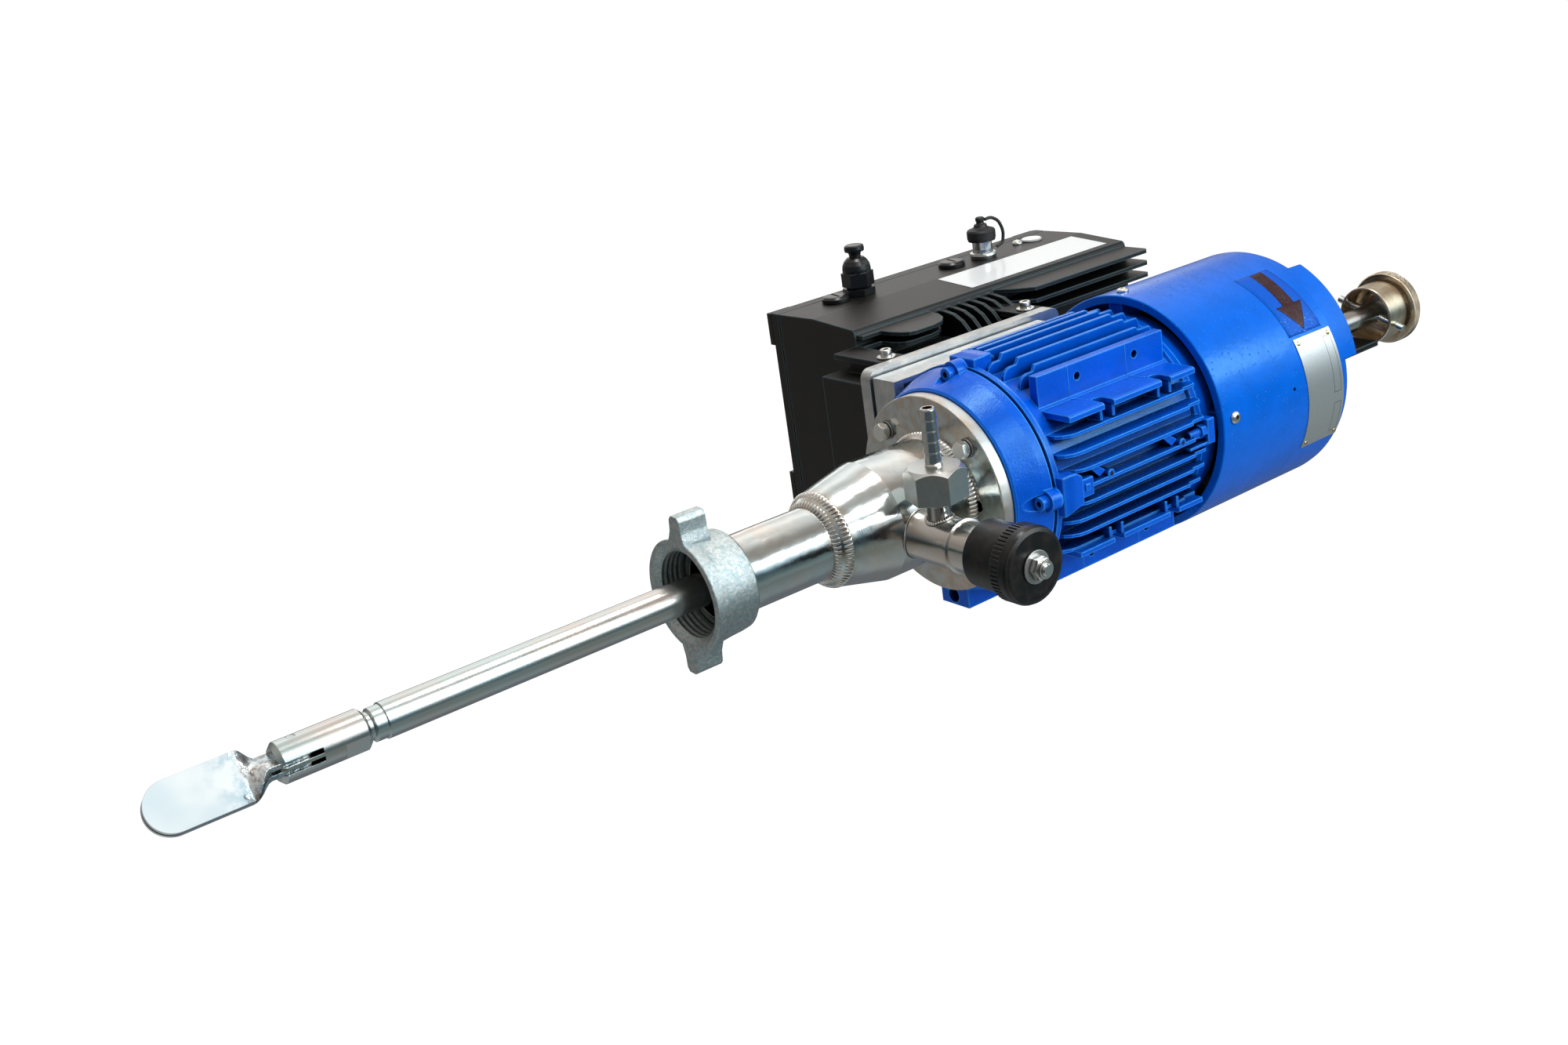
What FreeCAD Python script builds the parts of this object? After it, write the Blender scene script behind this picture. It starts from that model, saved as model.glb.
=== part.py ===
import FreeCAD, Part
import Sketcher
import math
import os
from FreeCAD import Placement, Rotation, Vector

# A portable side-entry agitator for tanks. The shaft axis is X: the folding paddle is at -X,
# the motor and the hand knob are at +X. The frequency inverter stands on the +Y side, +Z is up.
# The origin is the centre of the face that seals against the tank's threaded port.
# All sizes are millimetres. A name ending in _x is a place along the shaft.

doc = FreeCAD.newDocument("agitator")
sheet = doc.addObject("Spreadsheet::Sheet", "Sizes")
sheet_row = [0]
pieces = []


class Size:
    """A length that knows its value and the expression that gives it in the sheet."""

    def __init__(self, text, value):
        self.text = text
        self.value = value

    def join(self, sign, other, value, swap=False):
        other = as_size(other)
        first, second = (other, self) if swap else (self, other)
        return Size("(%s %s %s)" % (first.text, sign, second.text), value)

    def __add__(self, other):
        return self.join("+", other, self.value + as_size(other).value)

    def __radd__(self, other):
        return self.join("+", other, as_size(other).value + self.value, True)

    def __sub__(self, other):
        return self.join("-", other, self.value - as_size(other).value)

    def __rsub__(self, other):
        return self.join("-", other, as_size(other).value - self.value, True)

    def __mul__(self, other):
        return self.join("*", other, self.value * as_size(other).value)

    def __rmul__(self, other):
        return self.join("*", other, as_size(other).value * self.value, True)

    def __truediv__(self, other):
        return self.join("/", other, self.value / as_size(other).value)

    def __neg__(self):
        return self * -1


def as_size(value):
    if isinstance(value, Size):
        return value
    return Size("(%.6f)" % value, float(value))


def size(name, value):
    """One driving dimension: a cell of the sheet with its alias, and the value beside it."""
    sheet_row[0] += 1
    row = str(sheet_row[0])
    sheet.set("A" + row, name.replace("_", " "))
    sheet.set("B" + row, str(value))
    sheet.setAlias("B" + row, name)
    return Size("Sizes." + name, float(value))


def leg(radius, across):
    """How far a circle reaches at a place across from its centre line."""
    radius, across = as_size(radius), as_size(across)
    text = "sqrt(%s * %s - %s * %s)" % (radius.text, radius.text, across.text, across.text)
    return Size(text, math.sqrt(radius.value ** 2 - across.value ** 2))


def bind(thing, name, value):
    """Set one size of an object, by expression where it hangs on the sheet."""
    value = as_size(value)
    if "Sizes." in value.text:
        thing.setExpression(name, value.text)
    else:
        setattr(thing, name, value.value)


def put(thing, x=0, y=0, z=0, turn=None):
    """Place an object: its turn first, then its base bound to the sheet."""
    numbers = [as_size(x), as_size(y), as_size(z)]
    base = Vector(*[n.value for n in numbers])
    thing.Placement = Placement(base, turn or Rotation())
    for axis, number in zip("xyz", numbers):
        if "Sizes." in number.text:
            thing.setExpression("Placement.Base." + axis, number.text)
    return thing


def outline(body, role, points, lift=0):
    """A closed sketch on one of the body's own planes, every corner bound to the sheet."""
    plane = [f for f in body.Origin.OriginFeatures if f.Role == role][0]
    sketch = body.newObject("Sketcher::SketchObject", body.Name + "_outline")
    sketch.AttachmentSupport = [(plane, "")]
    sketch.MapMode = "FlatFace"
    lift = as_size(lift)
    if "Sizes." in lift.text:
        sketch.setExpression(".AttachmentOffset.Base.z", lift.text)
    sketch.AttachmentOffset = Placement(Vector(0, 0, lift.value), Rotation())
    corners = [(as_size(a), as_size(b)) for a, b in points]
    count = len(corners)
    lines = []
    for i in range(count):
        a, b = corners[i], corners[(i + 1) % count]
        start = Vector(a[0].value, a[1].value, 0)
        lines.append(Part.LineSegment(start, Vector(b[0].value, b[1].value, 0)))
    sketch.addGeometry(lines, False)
    for i in range(count):
        sketch.addConstraint(Sketcher.Constraint("Coincident", i, 2, (i + 1) % count, 1))
    for i, corner in enumerate(corners):
        for kind, axis, number in (("DistanceX", -2, corner[0]), ("DistanceY", -1, corner[1])):
            if number.value == 0 and "Sizes." not in number.text:
                sketch.addConstraint(Sketcher.Constraint("PointOnObject", i, 1, axis))
                continue
            at = sketch.addConstraint(Sketcher.Constraint(kind, -1, 1, i, 1, number.value))
            if "Sizes." in number.text:
                sketch.setExpression("Constraints[%d]" % at, number.text)
    return sketch


def turned(name, points, sweep=360.0):
    """A body turned about X from (place along X, radius) corners, from +Y over the sweep in degrees."""
    body = doc.addObject("PartDesign::Body", name)
    sketch = outline(body, "XY_Plane", points)
    spin = body.newObject("PartDesign::Revolution", name + "_spin")
    spin.Profile = sketch
    spin.ReferenceAxis = (sketch, ["H_Axis"])
    bind(spin, "Angle", sweep)
    return body


def turn_from(body, first):
    """Turn a swept body about X so that it starts at an angle from +Y."""
    body.Placement = Placement(Vector(0, 0, 0), Rotation(Vector(1, 0, 0), first.value))
    body.setExpression("Placement.Rotation.Angle", first.text)
    return body


def prism(name, role, points, start, length):
    """A body padded from a closed outline, from start over length along the plane's normal."""
    body = doc.addObject("PartDesign::Body", name)
    sketch = outline(body, role, points, start)
    pad = body.newObject("PartDesign::Pad", name + "_pad")
    pad.Profile = sketch
    bind(pad, "Length", length)
    return body


def box(name, x, y, z, x_size, y_size, z_size):
    """A block from its lowest corner."""
    block = doc.addObject("Part::Box", name)
    bind(block, "Length", x_size)
    bind(block, "Width", y_size)
    bind(block, "Height", z_size)
    return put(block, x, y, z)


def spoke(name, x, inner, x_size, across, reach, angle):
    """A block that stands out from the shaft axis, its middle plane at an angle from +Y."""
    c = math.cos(math.radians(angle))
    s = math.sin(math.radians(angle))
    inner = as_size(inner)
    half = as_size(across) * 0.5
    block = box(name, 0, 0, 0, x_size, across, reach)
    return put(block, x, inner * c - half * s, inner * s + half * c, Rotation(Vector(1, 0, 0), angle - 90))


ALONG_X = Rotation(Vector(0, 1, 0), 90)
ALONG_Y = Rotation(Vector(1, 0, 0), -90)
DOWN_Y = Rotation(Vector(1, 0, 0), 90)
X_TO_MINUS_Y = Rotation(Vector(0, 0, 1), -90)
X_TO_Y = Rotation(Vector(0, 0, 1), 90)
X_TO_Z = Rotation(Vector(0, 1, 0), -90)


def rod(name, radius, length, x=0, y=0, z=0, turn=None):
    """A cylinder whose own axis is Z before its turn."""
    cylinder = doc.addObject("Part::Cylinder", name)
    bind(cylinder, "Radius", radius)
    bind(cylinder, "Height", length)
    return put(cylinder, x, y, z, turn)


def hexagon(name, flats, length, x=0, y=0, z=0, turn=None):
    """A hexagonal bar from its size across the flats."""
    bar = doc.addObject("Part::Prism", name)
    bar.Polygon = 6
    bind(bar, "Circumradius", as_size(flats) / math.sqrt(3))
    bind(bar, "Height", length)
    return put(bar, x, y, z, turn)


def fuse(name, shapes):
    joined = doc.addObject("Part::MultiFuse", name)
    joined.Shapes = shapes
    return joined


def cut(name, base, tools):
    tool = tools[0] if len(tools) == 1 else fuse(name + "_tools", tools)
    result = doc.addObject("Part::Cut", name)
    result.Base = base
    result.Tool = tool
    return result


def common(name, base, tool):
    result = doc.addObject("Part::Common", name)
    result.Base = base
    result.Tool = tool
    return result


def keep(label, thing):
    """Note a finished piece: its label names its file."""
    thing.Label = label
    pieces.append(thing)
    return thing


def rounded(name, base, radius, wanted):
    """Round the edges of base that the test picks by their ends and middle."""
    doc.recompute()
    fillet = doc.addObject("Part::Fillet", name)
    fillet.Base = base
    picked = []
    for number, edge in enumerate(base.Shape.Edges, 1):
        ends = [v.Point for v in edge.Vertexes]
        if len(ends) == 2 and wanted(ends[0], ends[1]):
            picked.append((number, as_size(radius).value, as_size(radius).value))
    fillet.Edges = picked
    return fillet


def along(axis):
    """A test for straight edges that run along one axis."""
    index = "xyz".index(axis)
    others = [i for i in range(3) if i != index]

    def test(a, b):
        gap = [abs(b[i] - a[i]) for i in range(3)]
        return gap[index] > 0.5 and all(gap[i] < 0.01 for i in others)
    return test


def on_circle(count, radius, first=0.0):
    """Places (y, z, angle) spaced evenly round the shaft axis, angles in degrees from +Y."""
    places = []
    for i in range(count):
        angle = first + 360.0 * i / count
        c = math.cos(math.radians(angle))
        s = math.sin(math.radians(angle))
        places.append((as_size(radius) * c, as_size(radius) * s, angle))
    return places


# Clearances and fits
running_gap = size("running_gap", 0.05)
nut_gap = size("nut_gap", 0.1)

# Lantern housing: tank tube, bulb, motor flange and welds, one welded stainless piece
tube_radius = size("tube_radius", 29.0)
tube_wall = size("tube_wall", 3.0)
collar_radius = size("collar_radius", 32.0)
collar_length = size("collar_length", 5.0)
weld_x = size("weld_x", 92.0)
bulb_x = size("bulb_x", 104.0)
bulb_front_radius = size("bulb_front_radius", 38.0)
cone_end_x = size("cone_end_x", 146.0)
bulb_radius = size("bulb_radius", 47.5)
bulb_wall = size("bulb_wall", 3.0)
flange_x = size("flange_x", 216.0)
flange_radius = size("flange_radius", 80.0)
flange_thickness = size("flange_thickness", 10.5)
flange_bore_radius = size("flange_bore_radius", 17.0)
boss_radius = size("boss_radius", 26.0)
boss_length = size("boss_length", 20.0)
bolt_circle_radius = size("bolt_circle_radius", 65.0)
bolt_hole_radius = size("bolt_hole_radius", 4.5)
plain_hole_circle_radius = size("plain_hole_circle_radius", 52.0)
plain_hole_radius = size("plain_hole_radius", 4.8)
flange_end_x = flange_x + flange_thickness
tube_bore_radius = tube_radius - tube_wall

bulb_envelope_corners = [
    (weld_x - 8, 0), (weld_x - 8, tube_radius), (weld_x, tube_radius), (weld_x + 1.5, tube_radius + 2.6),
    (weld_x + 4, tube_radius + 4.4), (weld_x + 7, tube_radius + 6.5), (bulb_x - 2, bulb_front_radius - 1.2),
    (bulb_x, bulb_front_radius), (cone_end_x, bulb_radius), (flange_x - 7, bulb_radius),
    (flange_x - 4.5, bulb_radius + 1.6), (flange_x - 1.8, bulb_radius + 3.2), (flange_x, bulb_radius + 4.2),
    (flange_x, 0)]
lantern_skin = turned("LanternSkin", [
    (0, tube_bore_radius), (0, collar_radius), (collar_length, collar_radius), (collar_length, tube_radius)]
    + bulb_envelope_corners[2:13] + [
    (flange_x, flange_radius - 0.6), (flange_x + 0.6, flange_radius), (flange_end_x - 0.6, flange_radius),
    (flange_end_x, flange_radius - 0.6), (flange_end_x, flange_bore_radius),
    (flange_x - boss_length, flange_bore_radius), (flange_x - boss_length, boss_radius),
    (flange_x - 3, boss_radius), (flange_x - 3, bulb_radius - bulb_wall),
    (cone_end_x + 1, bulb_radius - bulb_wall), (bulb_x + 1.5, bulb_front_radius - bulb_wall),
    (bulb_x - 1.5, tube_bore_radius + 3), (weld_x + 6, tube_bore_radius)])
valve_x = size("valve_x", 163.4)
valve_z = size("valve_z", -6.1)
port_radius = size("port_radius", 6.5)
flange_drills = [rod("BoltHole%d" % i, bolt_hole_radius, flange_thickness + 4, flange_x - 2, y, z, ALONG_X)
                 for i, (y, z, a) in enumerate(on_circle(4, bolt_circle_radius, 45))]
flange_drills += [rod("PlainHole%d" % i, plain_hole_radius, flange_thickness + 4, flange_x - 2, y, z,
                      ALONG_X)
                  for i, (y, z, a) in enumerate(on_circle(4, plain_hole_circle_radius, 0))]
flange_drills.append(rod("PortHole", port_radius, 30, valve_x, -30, valve_z, DOWN_Y))
keep("lantern_housing", cut("LanternHousing", lantern_skin, flange_drills))

# Guide bush and lip seal in the flange bore
shaft_radius = size("shaft_radius", 12.5)
bush_x = size("bush_x", 198.0)
bush_length = size("bush_length", 13.0)
seal_x = size("seal_x", 214.0)
seal_length = size("seal_length", 9.0)


def ring(name, start, length, inner, outer, ease=0.4):
    """A plain ring about X with eased outer corners."""
    end = as_size(start) + length
    return turned(name, [(start, inner), (start, as_size(outer) - ease), (as_size(start) + ease, outer),
                         (end - ease, outer), (end, as_size(outer) - ease), (end, inner)])


keep("shaft_guide_bush",
     ring("GuideBush", bush_x, bush_length, shaft_radius + running_gap, flange_bore_radius))
keep("shaft_seal", turned("ShaftSeal", [
    (seal_x, shaft_radius + running_gap), (seal_x, flange_bore_radius),
    (seal_x + seal_length, flange_bore_radius),
    (seal_x + seal_length, flange_bore_radius - 2), (seal_x + 3, flange_bore_radius - 2),
    (seal_x + 2, shaft_radius + running_gap)]))

# Flange bolts with spring washers
bolt_head_flats = size("bolt_head_flats", 13.0)
bolt_head_height = size("bolt_head_height", 5.5)
bolt_shank_radius = size("bolt_shank_radius", 3.9)
bolt_reach = size("bolt_reach", 14.0)
washer_radius = size("washer_radius", 7.0)
washer_stack = size("washer_stack", 3.8)


def hex_head(name, flats, height, x=0, y=0, z=0, turn=None):
    """A hexagon head along Z with its top corners chamfered by a cone."""
    flats = as_size(flats)
    bar = hexagon(name + "Bar", flats, height)
    cap = doc.addObject("Part::Cone", name + "Cap")
    bind(cap, "Radius1", flats * 1.1)
    bind(cap, "Radius2", flats * 0.475)
    bind(cap, "Height", height)
    tall = doc.addObject("Part::Cylinder", name + "Round")
    bind(tall, "Radius", flats * 0.577)
    bind(tall, "Height", height)
    return put(common(name, common(name + "Cut", bar, cap), tall), x, y, z, turn)


bolts = []
washers = []
for i, (y, z, angle) in enumerate(on_circle(4, bolt_circle_radius, 45)):
    head_turn = Rotation(Vector(0, 1, 0), -90).multiply(Rotation(Vector(0, 0, 1), 17.0 * i))
    head = hex_head("BoltHead%d" % i, bolt_head_flats, bolt_head_height,
                    flange_x - washer_stack, y, z, head_turn)
    shank = rod("BoltShank%d" % i, bolt_shank_radius, washer_stack + flange_thickness + bolt_reach,
                flange_x - washer_stack, y, z, ALONG_X)
    bolts.append(fuse("Bolt%d" % i, [head, shank]))
    flat_washer = ring("FlatWasher%d" % i, -1.6, 1.6, bolt_hole_radius, washer_radius + 0.8, 0.2)
    put(flat_washer, flange_x, y, z)
    spring_washer = ring("SpringWasher%d" % i, -washer_stack, 1.9, bolt_hole_radius, washer_radius - 0.5,
                         0.3)
    put(spring_washer, flange_x, y, z)
    washers += [flat_washer, spring_washer]
keep("flange_bolts", fuse("FlangeBolts", bolts))
keep("flange_washers", fuse("FlangeWashers", washers))

# Drive end shield of the motor: cast, conical, with screw lugs and a bottom lug
shield_front_radius = size("shield_front_radius", 83.0)
shield_rear_radius = size("shield_rear_radius", 92.0)
seam_x = size("seam_x", 259.0)
bearing_bore_radius = size("bearing_bore_radius", 40.0)
front_bearing_x = size("front_bearing_x", 234.0)
bearing_width = size("bearing_width", 18.0)
hollow_shaft_radius = size("hollow_shaft_radius", 22.0)
lug_circle_radius = size("lug_circle_radius", 90.0)
lug_x = size("lug_x", 249.0)
lug_radius = size("lug_radius", 9.0)
bottom_lug_depth = size("bottom_lug_depth", 98.0)
bottom_lug_width = size("bottom_lug_width", 31.0)
seam_groove = size("seam_groove", 1.8)
shield_turned = turned("ShieldTurned", [
    (flange_end_x, hollow_shaft_radius + 3), (flange_end_x, shield_front_radius - 1.5),
    (flange_end_x + 1.5, shield_front_radius), (seam_x - 9, shield_rear_radius - 1.6),
    (seam_x - seam_groove, shield_rear_radius), (seam_x - seam_groove, shield_rear_radius - seam_groove),
    (seam_x, shield_rear_radius - seam_groove), (seam_x, 84), (flange_end_x + 12, 74),
    (flange_end_x + 12, 46),
    (front_bearing_x + bearing_width, 46), (front_bearing_x + bearing_width, bearing_bore_radius),
    (front_bearing_x, bearing_bore_radius), (front_bearing_x, hollow_shaft_radius + 3)])
shield_parts = [shield_turned]
for i, (y, z, angle) in enumerate(on_circle(4, lug_circle_radius, 0)):
    shield_parts.append(rod("ShieldLug%d" % i, lug_radius, seam_x - lug_x, lug_x, y, z, ALONG_X))
shield_parts.append(box("BottomLug", flange_end_x, -bottom_lug_width / 2 - 1.5, -bottom_lug_depth,
                        seam_x - flange_end_x, bottom_lug_width, bottom_lug_depth - 74))
shield_drills = [rod("ShieldBoltHole%d" % i, bolt_shank_radius + 0.05, bolt_reach + 6, flange_end_x - 5,
                     y, z, ALONG_X) for i, (y, z, a) in enumerate(on_circle(4, bolt_circle_radius, 45))]
shield_drills += [rod("ShieldPlainHole%d" % i, plain_hole_radius, 9, flange_end_x - 1, y, z, ALONG_X)
                  for i, (y, z, a) in enumerate(on_circle(4, plain_hole_circle_radius, 0))]
socket_head_radius = size("socket_head_radius", 5.6)
socket_head_height = size("socket_head_height", 6.5)
shield_drills += [rod("LugBore%d" % i, socket_head_radius + 0.5, lug_x - flange_end_x + 1, flange_end_x - 1,
                      y, z, ALONG_X) for i, (y, z, a) in enumerate(on_circle(4, lug_circle_radius, 0))]
shield_screw_radius = size("shield_screw_radius", 3.0)
shield_drills += [rod("ShieldScrewHole%d" % i, shield_screw_radius + 0.05, 30, lug_x - 5, y, z, ALONG_X)
                  for i, (y, z, a) in enumerate(on_circle(4, lug_circle_radius, 0))]
keep("drive_end_shield", cut("DriveEndShield", fuse("ShieldBlank", shield_parts), shield_drills))

# Socket screws that hold the shield to the frame


def socket_screw(name, head_radius, head_height, shank_radius, shank_length, hex_flats):
    """A cap screw along -Z: its head stands on z = 0 and its shank goes down."""
    head = turned(name + "Head", [(0, 0), (0, head_radius), (as_size(head_height) - 0.6, head_radius),
                                  (head_height, as_size(head_radius) - 0.6), (head_height, 0)])
    put(head, 0, 0, 0, X_TO_Z)
    shank = rod(name + "Shank", shank_radius, shank_length, 0, 0, -as_size(shank_length))
    socket = hexagon(name + "Socket", hex_flats, as_size(head_height) * 0.6, 0, 0,
                     as_size(head_height) * 0.45)
    return cut(name, fuse(name + "Solid", [head, shank]), [socket])


screws = []
for i, (y, z, angle) in enumerate(on_circle(4, lug_circle_radius, 0)):
    screw = socket_screw("ShieldScrew%d" % i, socket_head_radius, socket_head_height, shield_screw_radius,
                         20, 5.0)
    screws.append(put(screw, lug_x, y, z, Rotation(Vector(0, 1, 0), -90)))
keep("end_shield_screws", fuse("EndShieldScrews", screws))

# Motor frame: finned aluminium housing with foot pads on the open side


def nose(start, low, high, run, steps=4):
    """Corners of a quarter ellipse that rises from (start, low) to (start + run, high)."""
    corners = []
    for i in range(steps + 1):
        turn = math.radians(90.0 * i / steps)
        corners.append((start + run * (1 - math.cos(turn)), low + (high - low) * math.sin(turn)))
    return corners


frame_end_x = size("frame_end_x", 436.0)
frame_radius = size("frame_radius", 84.0)
frame_bore_radius = size("frame_bore_radius", 72.0)
fin_thickness = size("fin_thickness", 2.8)
fin_pitch = size("fin_pitch", 13.4)
fin_reach_radius = size("fin_reach_radius", 98.0)
fin_start_x = size("fin_start_x", 268.0)
fin_nose_length = size("fin_nose_length", 9.0)
fin_step = size("fin_step", 5.0)
fin_stagger = size("fin_stagger", 4.0)
fin_rear_step = size("fin_rear_step", 3.0)
pad_face_y = size("pad_face_y", -59.0)
pad_top_z = size("pad_top_z", 85.0)
pad_bottom_z = size("pad_bottom_z", 58.0)
pad_outer_y = size("pad_outer_y", -91.0)
pad_hole_one_x = size("pad_hole_one_x", 326.0)
pad_hole_two_x = size("pad_hole_two_x", 392.0)
pad_hole_radius = size("pad_hole_radius", 3.3)
block_y = size("block_y", 70.0)
frame_core = turned("FrameCore", [
    (seam_x, frame_bore_radius), (seam_x, shield_rear_radius + 1.5), (seam_x + 5, shield_rear_radius + 1.5),
    (seam_x + 9, frame_radius + 2), (seam_x + 14, frame_radius), (frame_end_x - 8, frame_radius),
    (frame_end_x - 6, frame_radius + 3), (frame_end_x, frame_radius + 3), (frame_end_x, frame_bore_radius)])
fins = []
fin_length = frame_end_x - fin_start_x
for i, row in enumerate((-3, -2, -1, 0, 1, 2, 3)):
    across = fin_pitch * (row - 0.1)
    reach = leg(fin_reach_radius, across)
    y = across - fin_thickness / 2
    start = fin_start_x + fin_stagger * abs(row)
    for side, sign in (("Top", 1), ("Bottom", -1)):
        if sign < 0 and row > 2:
            continue
        front = nose(start, (reach - fin_step * 3) * sign, (reach - fin_step) * sign, fin_nose_length)
        rear = [(frame_end_x - 22, reach * sign), (frame_end_x - 20, (reach - fin_rear_step) * sign),
                (frame_end_x - 6, (reach - fin_rear_step) * sign), (frame_end_x - 4, (reach - 7) * sign)]
        step = [(start + fin_nose_length + 6, (reach - fin_step) * sign),
                (start + fin_nose_length + 9, reach * sign)]
        root = frame_radius * sign * 0.7
        fins.append(prism("Fin%s%d" % (side, i), "XZ_Plane",
                          [(start, root)] + front + step + rear + [(frame_end_x - 4, root)],
                          -y - fin_thickness, fin_thickness))
for i, row in enumerate((-4, -3, -2, -1, 0, 1, 2, 3)):
    level = fin_pitch * row + 1.0
    reach = leg(fin_reach_radius, level)
    z = level - fin_thickness / 2
    start = fin_start_x + 2 + fin_stagger * (1.5 if abs(row) < 2 else row % 2)
    front = nose(start, fin_step * 3 - reach, -reach, fin_nose_length * 2)
    rear = [(frame_end_x - 22, -reach), (frame_end_x - 20, fin_rear_step - reach),
            (frame_end_x - 6, fin_rear_step - reach), (frame_end_x - 3, -reach + 7)]
    root = frame_radius * -0.7
    fins.append(prism("FinSide%d" % i, "XY_Plane",
                      [(start, root)] + front + rear + [(frame_end_x - 3, root)],
                      z, fin_thickness))
pads = []
for side, sign in (("Upper", 1), ("Lower", -1)):
    corner = [(pad_face_y, pad_top_z * sign), (pad_face_y, pad_bottom_z * sign),
              (pad_outer_y + 2, pad_bottom_z * sign), (pad_outer_y, (pad_bottom_z - 1) * sign),
              (pad_outer_y, (pad_bottom_z - 5) * sign), (pad_face_y, (pad_bottom_z - 5) * sign),
              (pad_face_y + 8, (pad_bottom_z - 10) * sign), (pad_face_y + 8, pad_top_z * sign)]
    pad = prism("Pad" + side, "YZ_Plane", corner, fin_start_x + 14, frame_end_x - fin_start_x - 24)
    drills = []
    for n, hole_x in enumerate((pad_hole_one_x, pad_hole_two_x)):
        drills.append(rod("PadHole%s%d" % (side, n), pad_hole_radius, 9, hole_x, pad_face_y + 7,
                          (pad_bottom_z + 16) * sign, DOWN_Y))
        low = pad_bottom_z * sign - (8 if sign > 0 else 4)
        slot = box("PadSlot%s%d" % (side, n), hole_x - 5.5, pad_outer_y - 1, low, 11, 12, 12)
        slot_end = rod("PadSlotEnd%s%d" % (side, n), 5.5, 12, hole_x, pad_outer_y + 11, low)
        drills += [slot, slot_end]
    pads.append(cut("PadCut" + side, pad, drills))
block_top_z = size("block_top_z", 73.0)
block_x = size("block_x", 249.0)
block_length = size("block_length", 193.0)
block_depth = size("block_depth", 27.0)
keep_out = box("FrameFlat", seam_x - 20, block_y + 13, -block_top_z - 12, fin_length + 60, 60,
               block_top_z * 2 + 24)
bore = rod("FrameBore", frame_bore_radius, fin_length + 40, seam_x - 5, 0, 0, ALONG_X)
frame_blank = fuse("FrameBlank", [frame_core] + fins + pads)
frame_screw_holes = [rod("FrameScrewHole%d" % i, shield_screw_radius + 0.05, 25, seam_x - 2, y, z, ALONG_X)
                     for i, (y, z, a) in enumerate(on_circle(4, lug_circle_radius, 0))]
lug_length = size("lug_length", 22.0)
lug_taper = size("lug_taper", 12.0)
frame_lugs = []
for i, (y, z, angle) in enumerate(on_circle(4, lug_circle_radius, 0)):
    if angle > 1:
        lug = turned("FrameLug%d" % i, [(0, 0), (0, lug_radius), (lug_length, lug_radius),
                                        (lug_length + lug_taper, lug_radius * 0.4),
                                        (lug_length + lug_taper, 0)])
        frame_lugs.append(put(lug, seam_x, y, z))
keep("stator_frame", cut("StatorFrame", fuse("FrameWithLugs", [frame_blank] + frame_lugs),
                         [keep_out, bore] + frame_screw_holes))

# Stator core and winding heads
stator_x = size("stator_x", 278.0)
stator_length = size("stator_length", 130.0)
air_gap_radius = size("air_gap_radius", 54.0)
keep("stator_core",
     ring("StatorCore", stator_x, stator_length, air_gap_radius + 0.5, frame_bore_radius, 0.5))
head_front = ring("WindingFront", stator_x - 12, 12, air_gap_radius + 3, frame_bore_radius - 2, 3)
head_rear = ring("WindingRear", stator_x + stator_length, 12, air_gap_radius + 3, frame_bore_radius - 2, 3)
keep("winding_heads", fuse("WindingHeads", [head_front, head_rear]))

# Rear end shield with four arms that carry the fan cover
rear_shield_length = size("rear_shield_length", 16.0)
cover_radius = size("cover_radius", 103.4)
cover_wall = size("cover_wall", 2.5)
cover_x = size("cover_x", 443.0)
cover_end_x = size("cover_end_x", 617.0)
cover_screw_x = size("cover_screw_x", 457.0)
rear_bearing_x = frame_end_x - 2
cover_screw_angles = (175.5, 85.5, -4.5, -94.5)
arm_width = size("arm_width", 14.0)
arm_clearance = size("arm_clearance", 0.3)
rear_disc = turned("RearShieldDisc", [
    (frame_end_x, hollow_shaft_radius + 3), (frame_end_x, frame_radius + 3),
    (frame_end_x + rear_shield_length, frame_radius + 3),
    (frame_end_x + rear_shield_length, hollow_shaft_radius + 3)])
seat = ring("RearSeat", frame_end_x - 18, 20, bearing_bore_radius, 46, 0.5)
seat_bore = rod("RearSeatBore", bearing_bore_radius, 14, frame_end_x - 14, 0, 0, ALONG_X)
arms = []
arm_holes = []
for i, angle in enumerate(cover_screw_angles):
    arm_reach = leg(cover_radius - cover_wall - arm_clearance, arm_width * 0.5) - frame_radius + 4
    arms.append(spoke("CoverArm%d" % i, frame_end_x + 10, frame_radius - 4, 20, arm_width, arm_reach, angle))
    c = math.cos(math.radians(angle))
    s = math.sin(math.radians(angle))
    out = Rotation(Vector(0, 0, 1), Vector(0, c, s))
    arm_holes.append(rod("ArmHole%d" % i, 2.5, 14, cover_screw_x, (cover_radius - 14) * c,
                         (cover_radius - 14) * s, out))
rear_solid = fuse("RearShieldSolid", [rear_disc, seat] + arms)
keep("rear_end_shield", cut("RearEndShield", rear_solid, [seat_bore] + arm_holes))

# Bearings
keep("front_bearing", ring("FrontBearing", front_bearing_x, bearing_width,
                           hollow_shaft_radius + running_gap, bearing_bore_radius, 1.0))
keep("rear_bearing", ring("RearBearing", frame_end_x - 14, 14,
                          hollow_shaft_radius + running_gap, bearing_bore_radius, 1.0))

# Fan cover: rolled steel cap with a raised rear segment and air slots at the back
shoulder = size("shoulder", 15.0)
cover_opening_radius = size("cover_opening_radius", 36.0)
segment_rise = size("segment_rise", 10.0)
segment_start = size("segment_start", 117.0)
segment_sweep = size("segment_sweep", 53.5)


def shoulder_arc(end_x, radius, bend, steps=6):
    """Corners of a quarter bend from the cylinder to the flat rear."""
    corners = []
    for i in range(steps + 1):
        angle = math.radians(90.0 * i / steps)
        corners.append((end_x - bend + bend * math.sin(angle), radius - bend + bend * math.cos(angle)))
    return corners


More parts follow.
